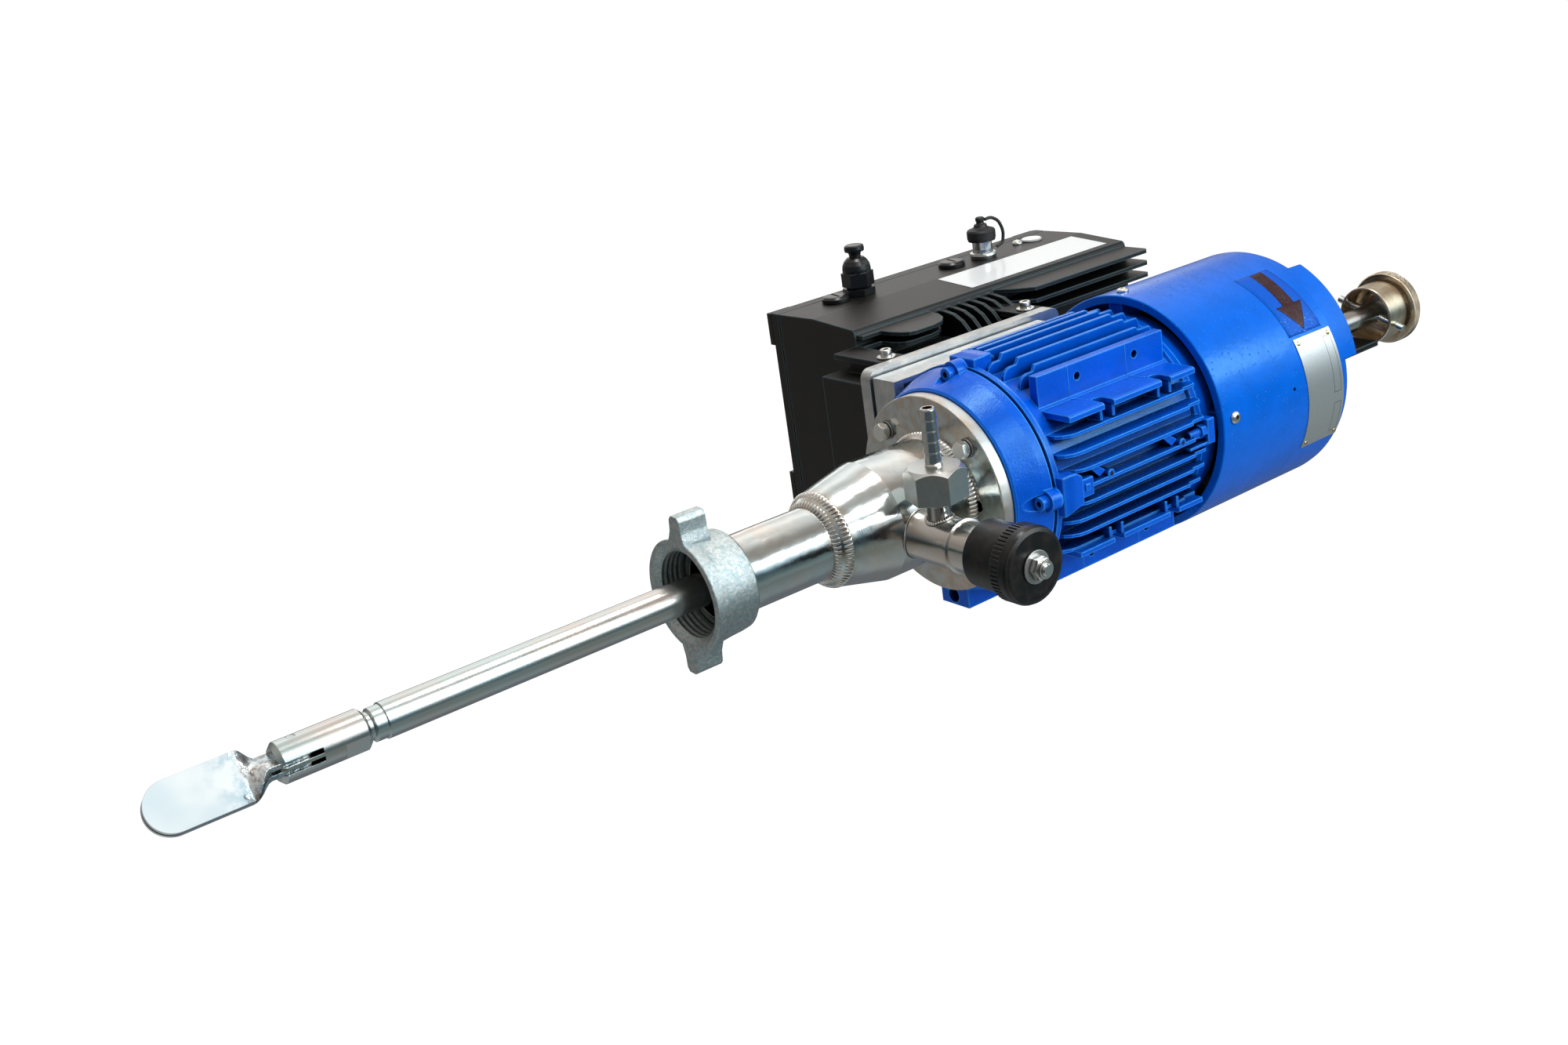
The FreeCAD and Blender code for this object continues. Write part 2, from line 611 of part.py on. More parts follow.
cover_skin = turned("CoverSkin", [
    (cover_x, cover_radius - 7), (cover_x, cover_radius - 0.8), (cover_x + 0.8, cover_radius)]
    + shoulder_arc(cover_end_x, cover_radius, shoulder)
    + [(cover_end_x, cover_opening_radius), (cover_end_x - cover_wall, cover_opening_radius)]
    + shoulder_arc(cover_end_x - cover_wall, cover_radius - cover_wall, shoulder - cover_wall)[::-1]
    + [(cover_x + 2.5, cover_radius - cover_wall), (cover_x + 2.5, cover_radius - 7)])
segment = turned("CoverSegment",
                 [(cover_end_x - shoulder - 6, cover_radius - 1.2),
                  (cover_end_x - shoulder - 3, cover_radius + 0.1)]
                 + shoulder_arc(cover_end_x + segment_rise, cover_radius - 0.6, 5, 3)
                 + [(cover_end_x + segment_rise, cover_opening_radius + 8),
                    (cover_end_x - 0.5, cover_opening_radius + 8),
                    (cover_end_x - 0.5, cover_radius - shoulder),
                    (cover_end_x - shoulder * 0.5, cover_radius - shoulder * 0.5)], segment_sweep)
turn_from(segment, segment_start)
slot_count = 14
slots = []
for i in range(slot_count):
    angle = 360.0 * i / slot_count + 8
    if segment_start.value - 7 < angle < segment_start.value + segment_sweep.value + 10:
        continue
    slots.append(spoke("AirSlot%d" % i, cover_end_x - 6, cover_opening_radius + 10, 30, 6, 34, angle))
button_height = size("button_height", 3.0)
cover_screw_holes = []
cover_screws = []
for i, angle in enumerate(cover_screw_angles):
    c = math.cos(math.radians(angle))
    s = math.sin(math.radians(angle))
    out = Rotation(Vector(0, 0, 1), Vector(0, c, s))
    cover_screw_holes.append(rod("CoverHole%d" % i, 2.7, 12, cover_screw_x, (cover_radius - 8) * c,
                                 (cover_radius - 8) * s, out))
    head = turned("ButtonHead%d" % i, [
        (-10.5, 0), (-10.5, 2.45), (0.1, 2.45), (0.1, 5.2), (button_height - 1.8, 5.2),
        (button_height - 0.7, 4.4), (button_height, 2.8), (button_height, 0)])
    put(head, 0, 0, 0, X_TO_Z)
    socket = hexagon("ButtonSocket%d" % i, 3.4, 3, 0, 0, 1.2)
    cover_screws.append(put(cut("CoverScrew%d" % i, head, [socket]), cover_screw_x, cover_radius * c,
                            cover_radius * s, out))
drain_x = size("drain_x", 535.5)
drain_radius = size("drain_radius", 1.6)
drain_hole = rod("DrainHole", drain_radius, 12, drain_x, -cover_radius + 8, 9.7, DOWN_Y)
cover_cuts = slots + cover_screw_holes + [drain_hole]
keep("fan_cover", cut("FanCover", fuse("CoverSolid", [cover_skin, segment]), cover_cuts))
keep("fan_cover_screws", fuse("FanCoverScrews", cover_screws))

# Nameplate curved round the cover, with four rivets
plate_top_x = size("plate_top_x", 549.3)
plate_bottom_x = size("plate_bottom_x", 556.1)
plate_length = size("plate_length", 47.8)
plate_top_z = size("plate_top_z", 47.4)
plate_bottom_z = size("plate_bottom_z", -50.6)
plate_gap = size("plate_gap", 0.06)
plate_skin = size("plate_skin", 0.8)
rivet_radius = size("rivet_radius", 0.9)
rivet_inset = size("rivet_inset", 4.2)
plate_band = ring("PlateBand", plate_top_x - 5, plate_length + plate_bottom_x - plate_top_x + 10,
                  cover_radius + plate_gap, cover_radius + plate_skin, 0.05)
plate_outline = prism("PlateOutline", "XZ_Plane", [
    (plate_top_x, plate_top_z), (plate_top_x + plate_length, plate_top_z),
    (plate_bottom_x + plate_length, plate_bottom_z), (plate_bottom_x, plate_bottom_z)],
    cover_radius * 0.5, cover_radius)
plate_blank = common("PlateBlank", plate_band, plate_outline)
plate_drills = []
rivets = []
rivet_places = []
for edge_x, level in ((plate_top_x + 0.3, plate_top_z - rivet_inset),
                      (plate_bottom_x - 0.3, plate_bottom_z + rivet_inset)):
    rivet_places += [(edge_x + rivet_inset, level), (edge_x + plate_length - rivet_inset, level)]
for i, (x, level) in enumerate(rivet_places):
    s = level.value / cover_radius.value
    c = -math.sqrt(1 - s * s)
    out = Rotation(Vector(0, 0, 1), Vector(0, c, s))
    y, z = cover_radius * c, cover_radius * s
    plate_drills.append(rod("PlateHole%d" % i, rivet_radius + running_gap, 3, x, y - c, z - s, out))
    rivet_head = turned("RivetHead%d" % i,
                        [(plate_skin + 0.01, 0), (plate_skin + 0.01, 2.2), (1.3, 2.0), (1.8, 1.2),
                                            (2.0, 0)])
    put(rivet_head, 0, 0, 0, X_TO_Z)
    rivet_foot = rod("RivetFoot%d" % i, rivet_radius, plate_skin + 0.1 - plate_gap, 0, 0, plate_gap)
    rivets.append(put(fuse("Rivet%d" % i, [rivet_head, rivet_foot]), x, y, z, out))
keep("nameplate", cut("NamePlate", plate_blank, plate_drills))
keep("nameplate_rivets", fuse("NameplateRivets", rivets))

# Black stop bar under the rear shaft, with its foot on the cover
bar_end_x = size("bar_end_x", 779.0)
bar_half_width = size("bar_half_width", 15.0)
bar_top_z = size("bar_top_z", -22.0)
bar_thickness = size("bar_thickness", 5.0)
bar = box("BarTongue", cover_end_x, -bar_half_width, bar_top_z - bar_thickness,
          bar_end_x - cover_end_x, bar_half_width * 2, bar_thickness)
bar_foot = box("BarFoot", cover_end_x, -bar_half_width, bar_top_z - bar_thickness - 34, 4,
               bar_half_width * 2, 34 + bar_thickness)
keep("rear_stop_bar", fuse("RearStopBar", [bar, bar_foot]))

# Side valve on the bulb: welded body with a stub, turned along -Y
valve_radius = size("valve_radius", 19.4)
valve_face_y = size("valve_face_y", 114.9)
clamp_y = size("clamp_y", 93.0)
seat_y = size("seat_y", 55.0)
valve_profile = turned("ValveTurned", [
    (22, port_radius), (22, valve_radius - 0.4), (37, valve_radius), (clamp_y - 4, valve_radius),
    (clamp_y - 3, valve_radius + 1.6), (clamp_y, valve_radius + 1.6), (clamp_y + 1, valve_radius),
    (valve_face_y - 2, valve_radius),
    (valve_face_y - 2, 15.2), (clamp_y - 8, 15.2), (clamp_y - 12, 9),
    (seat_y - 0.3, 9), (seat_y - 0.3, port_radius)])
put(valve_profile, valve_x, 0, valve_z, X_TO_MINUS_Y)
stub_y = size("stub_y", -69.0)
stub_radius = size("stub_radius", 9.0)
stub_top_z = size("stub_top_z", 30.0)
stub = rod("Stub", stub_radius, stub_top_z - valve_z, valve_x - 1.5, stub_y, valve_z)
stub_thread = [ring("StubThread%d" % i, 0, 1.4, stub_radius - 1, stub_radius + 0.9, 0.6) for i in range(3)]
for i, crest in enumerate(stub_thread):
    put(crest, valve_x - 1.5, stub_y, stub_top_z - 7.2 + 2.3 * i, X_TO_Z)
stub_bore = rod("StubBore", 4.0, stub_top_z - valve_z + 6, valve_x - 1.5, stub_y, valve_z)
valve_inside = rod("ValveInside", 9, clamp_y - 11 - seat_y, valve_x, -seat_y + 0.3, valve_z, DOWN_Y)
valve_port = rod("ValvePort", port_radius, 60, valve_x, -22, valve_z, DOWN_Y)
bulb_solid = turned("BulbSolid", bulb_envelope_corners)
valve_blank = fuse("ValveBlank", [valve_profile, stub] + stub_thread)
keep("valve_body", cut("ValveBody", valve_blank, [bulb_solid, stub_bore, valve_inside, valve_port]))

# Hexagon union nut and stepped hose barb on the stub
hose_nut_flats = size("hose_nut_flats", 41.0)
hose_nut_height = size("hose_nut_height", 25.0)
barb_radius = size("barb_radius", 6.6)
barb_top_z = size("barb_top_z", 97.0)
nut_blank = hex_head("HoseNutBlank", hose_nut_flats, hose_nut_height)
nut_room = rod("HoseNutRoom", stub_radius + 1.2, 3.2, 0, 0, -1)
nut_eye = rod("HoseNutEye", barb_radius + 0.1, 30, 0, 0, 0)
hose_nut = cut("HoseNut", nut_blank, [nut_room, nut_eye])
put(hose_nut, valve_x - 1.5, stub_y, stub_top_z - 2, Rotation(Vector(0, 0, 1), 12))
keep("hose_nut", hose_nut)
barb_corners = [(0.3, 4.0), (0.3, barb_radius), (24, barb_radius), (24, barb_radius - 0.2)]
for i in range(5):
    at = 25.5 + 8.2 * i
    barb_corners += [(at, barb_radius - 1.1), (at + 0.6, barb_radius - 0.1), (at + 7.2, barb_radius - 0.9)]
barb_corners += [(barb_top_z - stub_top_z - 0.8, barb_radius - 1.1),
                 (barb_top_z - stub_top_z, barb_radius - 1.8),
                 (barb_top_z - stub_top_z, 4.0)]
hose_barb = turned("HoseBarb", barb_corners)
put(hose_barb, valve_x - 1.5, stub_y, stub_top_z, X_TO_Z)
keep("hose_barb", hose_barb)

# Valve stem, black knob, washer and lock nut: they turn and travel together
stem_radius = size("stem_radius", 5.0)
stem_end_y = size("stem_end_y", 175.0)
stem = turned("ValveStem", [
    (seat_y, 0), (seat_y, 8.0), (seat_y + 6, 8.6), (seat_y + 10, 8.6), (seat_y + 12, stem_radius),
    (stem_end_y, stem_radius), (stem_end_y + 1, stem_radius - 1), (stem_end_y + 1, 0)])
put(stem, valve_x, 0, valve_z, X_TO_MINUS_Y)
keep("valve_stem", stem)
bonnet = turned("ValveBonnet", [(clamp_y - 7, stem_radius + running_gap), (clamp_y - 7, 15.1),
                                (valve_face_y - 4, 15.1), (valve_face_y - 4, stem_radius + running_gap)])
put(bonnet, valve_x, 0, valve_z, X_TO_MINUS_Y)
keep("valve_bonnet", bonnet)
sleeve_radius = size("sleeve_radius", 25.4)
knob_radius = size("knob_radius", 29.0)
knob_rib_y = size("knob_rib_y", 145.5)
knob_face_y = size("knob_face_y", 163.5)
knob_profile = turned("KnobTurned", [
    (valve_face_y, stem_radius + 0.05), (valve_face_y, sleeve_radius - 1), (valve_face_y + 1, sleeve_radius),
    (knob_rib_y, sleeve_radius + 0.4), (knob_rib_y, knob_radius - 1), (knob_rib_y + 1, knob_radius),
    (knob_face_y - 4, knob_radius), (knob_face_y - 1.2, knob_radius - 1.3), (knob_face_y, knob_radius - 4),
    (knob_face_y, stem_radius + 0.05)])
rib_count = 56
ribs_cut = [spoke("RibGap%d" % i, knob_rib_y - 0.5, knob_radius - 1.1, 10, 1.4, 3, 360.0 * i / rib_count)
            for i in range(rib_count)]
valve_knob = cut("ValveKnob", knob_profile, ribs_cut)
put(valve_knob, valve_x, 0, valve_z, X_TO_MINUS_Y)
keep("valve_knob", valve_knob)
knob_washer = ring("KnobWasher", knob_face_y, 1.6, stem_radius + 0.05, 12.4, 0.3)
put(knob_washer, valve_x, 0, valve_z, X_TO_MINUS_Y)
keep("knob_washer", knob_washer)
lock_hex = hex_head("LockHex", 15.0, 6.5)
lock_collar = rod("LockCollar", 6.6, 9, 0, 0, 0)
lock_eye = rod("LockEye", stem_radius + 0.05, 20, 0, 0, -1)
lock_nut = cut("LockNut", fuse("LockNutSolid", [lock_hex, lock_collar]), [lock_eye])
put(lock_nut, valve_x, -knob_face_y - 1.6, valve_z, DOWN_Y)
keep("knob_lock_nut", lock_nut)

# Terminal block on the motor, gasket and adapter plate of the inverter
block_blank = box("TerminalBlockBlank", block_x, block_y, -block_top_z, block_length, block_depth,
                  block_top_z * 2)
motor_room = rod("MotorRoom", shield_rear_radius + 1.5, 12, seam_x - 12, 0, 0, ALONG_X)
frame_room = rod("FrameRoom", fin_reach_radius + 0.5, 18.5, seam_x, 0, 0, ALONG_X)
core_room = box("CoreRoom", block_x - 1, block_y - 20, -50, block_length + 2, 33.0, 100)
fin_room = box("FinRoom", seam_x - 30, block_y - 20, -block_top_z - 5, block_length + 20, 20.5,
               block_top_z * 2 + 10)
lug_room = rod("LugRoom", lug_radius + 0.3, 40, lug_x - 7, lug_circle_radius, 0, ALONG_X)
rear_room = rod("RearRoom", frame_radius + 3.3, 40, frame_end_x - 1, 0, 0, ALONG_X)
keep("terminal_block", cut("TerminalBlock", block_blank,
                           [motor_room, frame_room, core_room, fin_room, lug_room, rear_room]))
plate_room = size("plate_room", 3.0)
adapter_depth = size("adapter_depth", 12.0)
adapter_top_z = size("adapter_top_z", 78.0)
adapter_end_x = size("adapter_end_x", 472.0)
gasket_y = block_y + block_depth
keep("adapter_gasket", box("AdapterGasket", seam_x + 1, gasket_y, -block_top_z + 4,
                           block_x + block_length - 5 - seam_x, plate_room, block_top_z * 2 - 8))
adapter_blank = box("AdapterBlank", block_x - 1, gasket_y + plate_room, -adapter_top_z,
                    adapter_end_x - block_x + 1, adapter_depth, adapter_top_z * 2)
adapter_round = rounded("AdapterRound", adapter_blank, 9.0, along("y"))
cover_room = rod("CoverRoom", cover_radius + button_height + 0.6, 40, cover_x - 2, 0, 0, ALONG_X)
keep("adapter_plate", cut("AdapterPlate", adapter_round, [cover_room]))

# Inverter: black cast heat sink with fins and a hollow for the electronics
inverter_x = size("inverter_x", 302.0)
inverter_length = size("inverter_length", 350.0)
inverter_near_y = size("inverter_near_y", 180.0)
inverter_bend_y = size("inverter_bend_y", 238.0)
inverter_seam_y = size("inverter_seam_y", 288.0)
inverter_far_y = size("inverter_far_y", 303.0)
inverter_half_height = size("inverter_half_height", 95.0)
neck_y = gasket_y + plate_room + adapter_depth
foot_top_z = size("foot_top_z", 76.0)
foot_one_x = size("foot_one_x", 290.0)
foot_two_x = size("foot_two_x", 457.0)
shell_lean = size("shell_lean", 4.6)
shell_corners = []
for sign in (1, -1):
    side = [(inverter_near_y, (inverter_half_height - 12) * sign),
            (inverter_near_y + 1, (inverter_half_height - 7) * sign),
            (inverter_near_y + 3.5, (inverter_half_height - shell_lean) * sign),
            (inverter_bend_y, inverter_half_height * sign),
            (inverter_seam_y, (inverter_half_height - 1.0) * sign)]
    shell_corners += side if sign > 0 else side[::-1]
shell = prism("InverterShell", "YZ_Plane", shell_corners, inverter_x, inverter_length)
neck = box("InverterNeck", block_x + 12, neck_y, -60, block_length - 8, inverter_near_y - neck_y + 1, 120)
inverter_parts = [shell, neck]
for side, sign in (("Up", 1), ("Down", -1)):
    for n, level in enumerate((84.0, 72.5, 61.0)):
        low = level - 1.8 if sign > 0 else -level - 1.8
        inverter_parts.append(prism("RearFin%s%d" % (side, n), "XY_Plane", [
            (inverter_x + 168, inverter_near_y + 1), (inverter_x + 180, inverter_near_y - 18),
            (inverter_x + 192, inverter_near_y - 32),
            (inverter_x + inverter_length - 6, inverter_near_y - 32),
            (inverter_x + inverter_length - 3, inverter_near_y - 29),
            (inverter_x + inverter_length - 3, inverter_near_y + 1)], low, 3.6))
        if n == 2:
            continue
        reach = 40 if n == 0 else 34
        inverter_parts.append(prism("FrontFin%s%d" % (side, n), "XY_Plane", [
            (inverter_x + 2, inverter_near_y + 1), (inverter_x + 2, inverter_near_y - 8),
            (inverter_x + 20, inverter_near_y - 8)]
            + nose(inverter_x + 22, inverter_near_y - 9, inverter_near_y - reach, 14)
            + nose(inverter_x + 88, inverter_near_y + 1, inverter_near_y - reach, -30)[::-1],
            (84.0 - 9.5 * n - 1.8) if sign > 0 else (-84.0 + 9.5 * n - 1.8), 3.6))
middle_fin_depth = size("middle_fin_depth", 46.0)
middle_fin_half = size("middle_fin_half", 84.0)
middle_fin_pitch = size("middle_fin_pitch", 12.4)
middle_top = nose(0, 0, 1, 1, 5)
for n in range(6):
    at = inverter_x + 98 + middle_fin_pitch * n
    upper = [(inverter_near_y - 8 - (middle_fin_depth - 8) * rise,
              middle_fin_half - (middle_fin_half - 46) * run)
             for run, rise in middle_top]
    lower = [(y, -z) for y, z in upper[::-1]]
    inverter_parts.append(prism("MiddleFin%d" % n, "YZ_Plane",
                                [(inverter_near_y + 1, middle_fin_half)] + upper
                                + lower + [(inverter_near_y + 1, -middle_fin_half)], at, 4.0))
foot_holes = []
foot_x_places = (foot_one_x, foot_two_x)
for n, foot_x in enumerate(foot_x_places):
    for side, sign in (("Up", 1), ("Down", -1)):
        low = foot_top_z * sign - (5 if sign > 0 else 0)
        inverter_parts.append(box("Foot%s%d" % (side, n), foot_x - 13, neck_y + 3, low, 26,
                                  inverter_near_y - neck_y - 2, 5))
        web_low = 58 if sign > 0 else -72
        inverter_parts.append(box("FootWeb%s%d" % (side, n), foot_x - 8, neck_y + 24, web_low, 16, 32, 14))
        foot_holes.append(rod("FootHole%s%d" % (side, n), 3.1, 30, foot_x, neck_y + 14,
                              foot_top_z * sign - 15))
cavity = box("InverterCavity", inverter_x + 9, inverter_near_y + 16, -inverter_half_height + 9,
             inverter_length - 18,
             inverter_seam_y - inverter_near_y, (inverter_half_height - 9) * 2)
gland_x = size("gland_x", 386.0)
gland_y = size("gland_y", 271.0)
plug_one_x = size("plug_one_x", 357.0)
plug_one_y = size("plug_one_y", 271.0)
plug_two_x = size("plug_two_x", 499.0)
plug_two_y = size("plug_two_y", 265.0)
connector_x = size("connector_x", 537.0)
connector_y = size("connector_y", 260.0)
window_inset = size("window_inset", 40.0)
window_x = inverter_x + inverter_length - window_inset
window_y = size("window_y", 268.0)
thread_radius = size("thread_radius", 9.0)
entry_places = ((gland_x, gland_y), (plug_one_x, plug_one_y), (plug_two_x, plug_two_y),
                (connector_x, connector_y))
entries = [rod("Entry%d" % i, thread_radius + 0.05, 14, x, y, inverter_half_height - 12)
           for i, (x, y) in enumerate(entry_places)]
entries.append(rod("WindowSeat", 8.55, 4, window_x, window_y, inverter_half_height - 3))
board_y = size("board_y", 222.0)
post_inset = size("post_inset", 34.0)
posts = []
for n, post_x in enumerate((inverter_x + post_inset, inverter_x + inverter_length - post_inset)):
    for side, sign in (("Up", 1), ("Down", -1)):
        posts.append(rod("Post%s%d" % (side, n), 4.0, board_y - inverter_near_y - 15, post_x,
                         inverter_near_y + 15,
                         60 * sign, ALONG_Y))
inverter_hollow = cut("InverterHollow", fuse("InverterSolid", inverter_parts),
                      [cavity] + entries + foot_holes)
keep("inverter_body", fuse("InverterBody", [inverter_hollow] + posts))

# Screws and washers of the inverter feet
foot_screws = []
foot_washers = []
for n, foot_x in enumerate(foot_x_places):
    for side, sign in (("Up", 1), ("Down", -1)):
        screw = socket_screw("FootScrew%s%d" % (side, n), 5.0, 6.0, 2.95, 12, 5.0)
        washer = ring("FootWasher%s%d" % (side, n), 0, 1.6, 3.2, 8.2, 0.2)
        level = foot_top_z * sign
        turn = Rotation() if sign > 0 else Rotation(Vector(1, 0, 0), 180)
        foot_screws.append(put(screw, foot_x, neck_y + 14, level + 1.6 * sign, turn))
        washer_turn = X_TO_Z if sign > 0 else ALONG_X
        foot_washers.append(put(washer, foot_x, neck_y + 14, level, washer_turn))
keep("inverter_screws", fuse("InverterScrews", foot_screws))
keep("inverter_washers", fuse("InverterWashers", foot_washers))

# Circuit board, lid gasket, lid and lid screws
keep("circuit_board", box("CircuitBoard", inverter_x + 20, board_y, -75, inverter_length - 40, 2, 150))
rim_out = box("GasketRim", inverter_x + 3, inverter_seam_y, -inverter_half_height + 4, inverter_length - 6,
              1.5,
              inverter_half_height * 2 - 8)
rim_in = box("GasketRoom", inverter_x + 9, inverter_seam_y - 1, -inverter_half_height + 10,
             inverter_length - 18, 4,
             inverter_half_height * 2 - 20)
keep("lid_gasket", cut("LidGasket", rim_out, [rim_in]))
lid_y = inverter_seam_y + 1.5
lid_pad = size("lid_pad", 5.0)
lid_blank = prism("LidPlate", "XY_Plane", [
    (inverter_x, lid_y), (inverter_x, inverter_far_y - 3), (inverter_x + 3, inverter_far_y),
    (inverter_x + inverter_length - 3, inverter_far_y), (inverter_x + inverter_length, inverter_far_y - 3),
    (inverter_x + inverter_length, lid_y)], -inverter_half_height + 1, inverter_half_height * 2 - 2)
lid_parts = [lid_blank]
lid_drills = [box("LidRoom", inverter_x + 9, lid_y - 1, -inverter_half_height + 10, inverter_length - 18, 9,
                  inverter_half_height * 2 - 20)]
lid_screws = []
for n, x in enumerate((inverter_x + 14, inverter_x + inverter_length - 14)):
    for side, sign in (("Up", 1), ("Down", -1)):
        low = (inverter_half_height - 32) if sign > 0 else -(inverter_half_height - 2)
        lid_parts.append(box("LidPad%s%d" % (side, n), x - 13, inverter_far_y - 1, low, 26, lid_pad + 1, 30))
        where = (inverter_half_height - 14) * sign
        screw = socket_screw("LidScrew%s%d" % (side, n), 4.2, 3.2, 2.2, 12, 3.6)
        lid_screws.append(put(screw, x, inverter_far_y + lid_pad, where, ALONG_Y))
        lid_drills.append(rod("LidHole%s%d" % (side, n), 2.3, 14, x, inverter_far_y + lid_pad - 13, where,
                              ALONG_Y))
keep("inverter_lid", cut("InverterLid", fuse("LidSolid", lid_parts), lid_drills))
keep("lid_screws", fuse("LidScrews", lid_screws))

# Cable gland: body, cap nut and blanking plug, empty of any cable
gland_flats = size("gland_flats", 27.0)
gland_base = hexagon("GlandHex", gland_flats, 6, 0, 0, 0)
gland_neck = turned("GlandNeck", [
    (-11, 5.5), (-11, thread_radius), (0, thread_radius), (0.5, 12.6), (6, 12.6), (7.5, 11),
    (7.5, thread_radius),
    (20, thread_radius), (20, 5.5)])
put(gland_neck, 0, 0, 0, X_TO_Z)
gland_bore = rod("GlandBore", 5.5, 60, 0, 0, -20)
gland_body = cut("CableGlandBody", fuse("GlandBodySolid", [gland_base, gland_neck]), [gland_bore])
put(gland_body, gland_x, gland_y, inverter_half_height, Rotation(Vector(0, 0, 1), 10))
keep("cable_gland_body", gland_body)
cap_hex = hexagon("GlandCapHex", gland_flats - 0.5, 13, 0, 0, 8)
cap_dome = turned("GlandDome",
                  [(20.5, 0), (20.5, 13.2), (24, 13.4), (28, 12.8), (32, 10.6), (34.5, 8), (35, 6.5),
                                (35, 0)])
put(cap_dome, 0, 0, 0, X_TO_Z)
cap_room = rod("GlandCapRoom", thread_radius + 0.05, 12.1, 0, 0, 7.9)
cap_eye = rod("GlandCapEye", 5.5, 60, 0, 0, 0)
cap_nut = cut("GlandCapNut", fuse("GlandCapSolid", [cap_hex, cap_dome]), [cap_room, cap_eye])
put(cap_nut, gland_x, gland_y, inverter_half_height, Rotation(Vector(0, 0, 1), 25))
keep("gland_cap_nut", cap_nut)
gland_plug = turned("GlandPlug",
                    [(10, 0), (10, 5.45), (36, 5.45), (37.5, 5.6), (40, 6.4), (40.4, 9.0), (42.5, 9.4),
                                  (45.5, 9.0), (46.4, 7.6), (46.4, 0)])
keep("gland_plug", put(gland_plug, gland_x, gland_y, inverter_half_height, X_TO_Z))

# Two slotted blanking plugs
plugs = []
for n, (x, y) in enumerate(((plug_one_x, plug_one_y), (plug_two_x, plug_two_y))):
    disc = turned("PlugDisc%d" % n,
                  [(-9, 0), (-9, thread_radius), (0, thread_radius), (0, 13), (3.2, 13), (5.0, 11.2),
                                     (5.4, 9), (5.4, 0)])
    put(disc, 0, 0, 0, X_TO_Z)
    slot = box("PlugSlot%d" % n, -8, -1.1, 3.0, 16, 2.2, 4)
    plugs.append(put(cut("Plug%d" % n, disc, [slot]), x, y, inverter_half_height,
                     Rotation(Vector(0, 0, 1), 78)))
keep("blanking_plugs", fuse("BlankingPlugs", plugs))

# Connector socket with its tethered rubber cap
socket = turned("ConnectorSocket",
                [(-9, 4), (-9, thread_radius), (0, thread_radius), (0.01, 12.5), (3.5, 13.2),
                                    (5.5, 12.6), (6, 10), (9, 9.6), (17, 9.6), (17, 4)])
keep("connector_socket", put(socket, connector_x, connector_y, inverter_half_height, X_TO_Z))
cap = turned("ConnectorCap", [
    (17.05, 0), (17.05, 9.6), (17.1, 13.2), (20, 14.0), (26.5, 14.0), (28, 12.8), (29.6, 8.2), (30.5, 6.8),
    (33, 6.0), (33.4, 4.2), (35, 3.6), (36.5, 4.4), (39, 4.4), (40, 3.2), (40, 0)])
keep("connector_cap", put(cap, connector_x, connector_y, inverter_half_height, X_TO_Z))

strap_radius = size("strap_radius", 1.6)
strap_points = [(4.9, 0.0, 36.6), (12, 1.0, 37.6), (20, 2.0, 33.0), (24.5, 2.0, 22.0), (22.5, 1.0, 11.0),
                (15.3, 0.0, 8.0)]


def bent_path(points, share=0.45):
    """Straight runs joined by tangent arcs, each arc as large as its two runs allow."""
    spots = [Vector(*p) for p in points]
    edges = []
    last = spots[0]
    for i in range(1, len(spots) - 1):
        before = (spots[i - 1] - spots[i])
        after = (spots[i + 1] - spots[i])
        trim = share * min(before.Length, after.Length)
        before.normalize()
        after.normalize()
        turn = math.pi - before.getAngle(after)
        radius = trim / math.tan(turn / 2)
        enter = spots[i] + before * trim
        leave = spots[i] + after * trim
        inward = (before + after).normalize()
        centre = spots[i] + inward * math.hypot(radius, trim)
        middle = centre + (spots[i] - centre).normalize() * radius
        edges.append(Part.LineSegment(last, enter).toShape())
        edges.append(Part.Arc(enter, middle, leave).toShape())
        last = leave
    edges.append(Part.LineSegment(last, spots[-1]).toShape())
    return Part.Wire(edges)


strap_first = Vector(*strap_points[0])
strap_section = Part.Circle(strap_first, Vector(*strap_points[1]) - strap_first,
                            strap_radius.value).toShape()
strap = doc.addObject("Part::Feature", "CapStrap")
strap.Shape = bent_path(strap_points).makePipeShell([Part.Wire([strap_section])], True, True)
put(strap, connector_x, connector_y, inverter_half_height, Rotation(Vector(0, 0, 1), -20))
keep("cap_strap", strap)

# Inspection window and dome screw on the top of the inverter, plain rating label
window = turned("InspectionWindow", [(-3, 0), (-3, 8.5), (0, 8.5), (0.01, 10.5), (1.2, 10.5), (1.8, 9.4),
                                     (1.8, 0)])
keep("inspection_window", put(window, window_x, window_y, inverter_half_height, X_TO_Z))
dome = turned("DomeScrew", [(0, 0), (0, 5.2), (1.4, 5.0), (3.0, 3.8), (4.2, 0)])
keep("window_screw", put(dome, window_x - 18, window_y + 2, inverter_half_height, X_TO_Z))
label_low_y = size("label_low_y", 190.0)
label_width = size("label_width", 46.0)
label_length = size("label_length", 182.0)
label_lift = size("label_lift", 0.25)
slope = shell_lean / (inverter_bend_y - inverter_near_y - 3.5)
label_start_z = inverter_half_height - slope * (inverter_bend_y - label_low_y)
label_end_z = inverter_half_height - slope * (inverter_bend_y - label_low_y - label_width)
keep("rating_label", prism("RatingLabel", "YZ_Plane", [
    (label_low_y, label_start_z), (label_low_y, label_start_z + label_lift),
    (label_low_y + label_width, label_end_z + label_lift), (label_low_y + label_width, label_end_z)],
    inverter_x + 152, label_length))

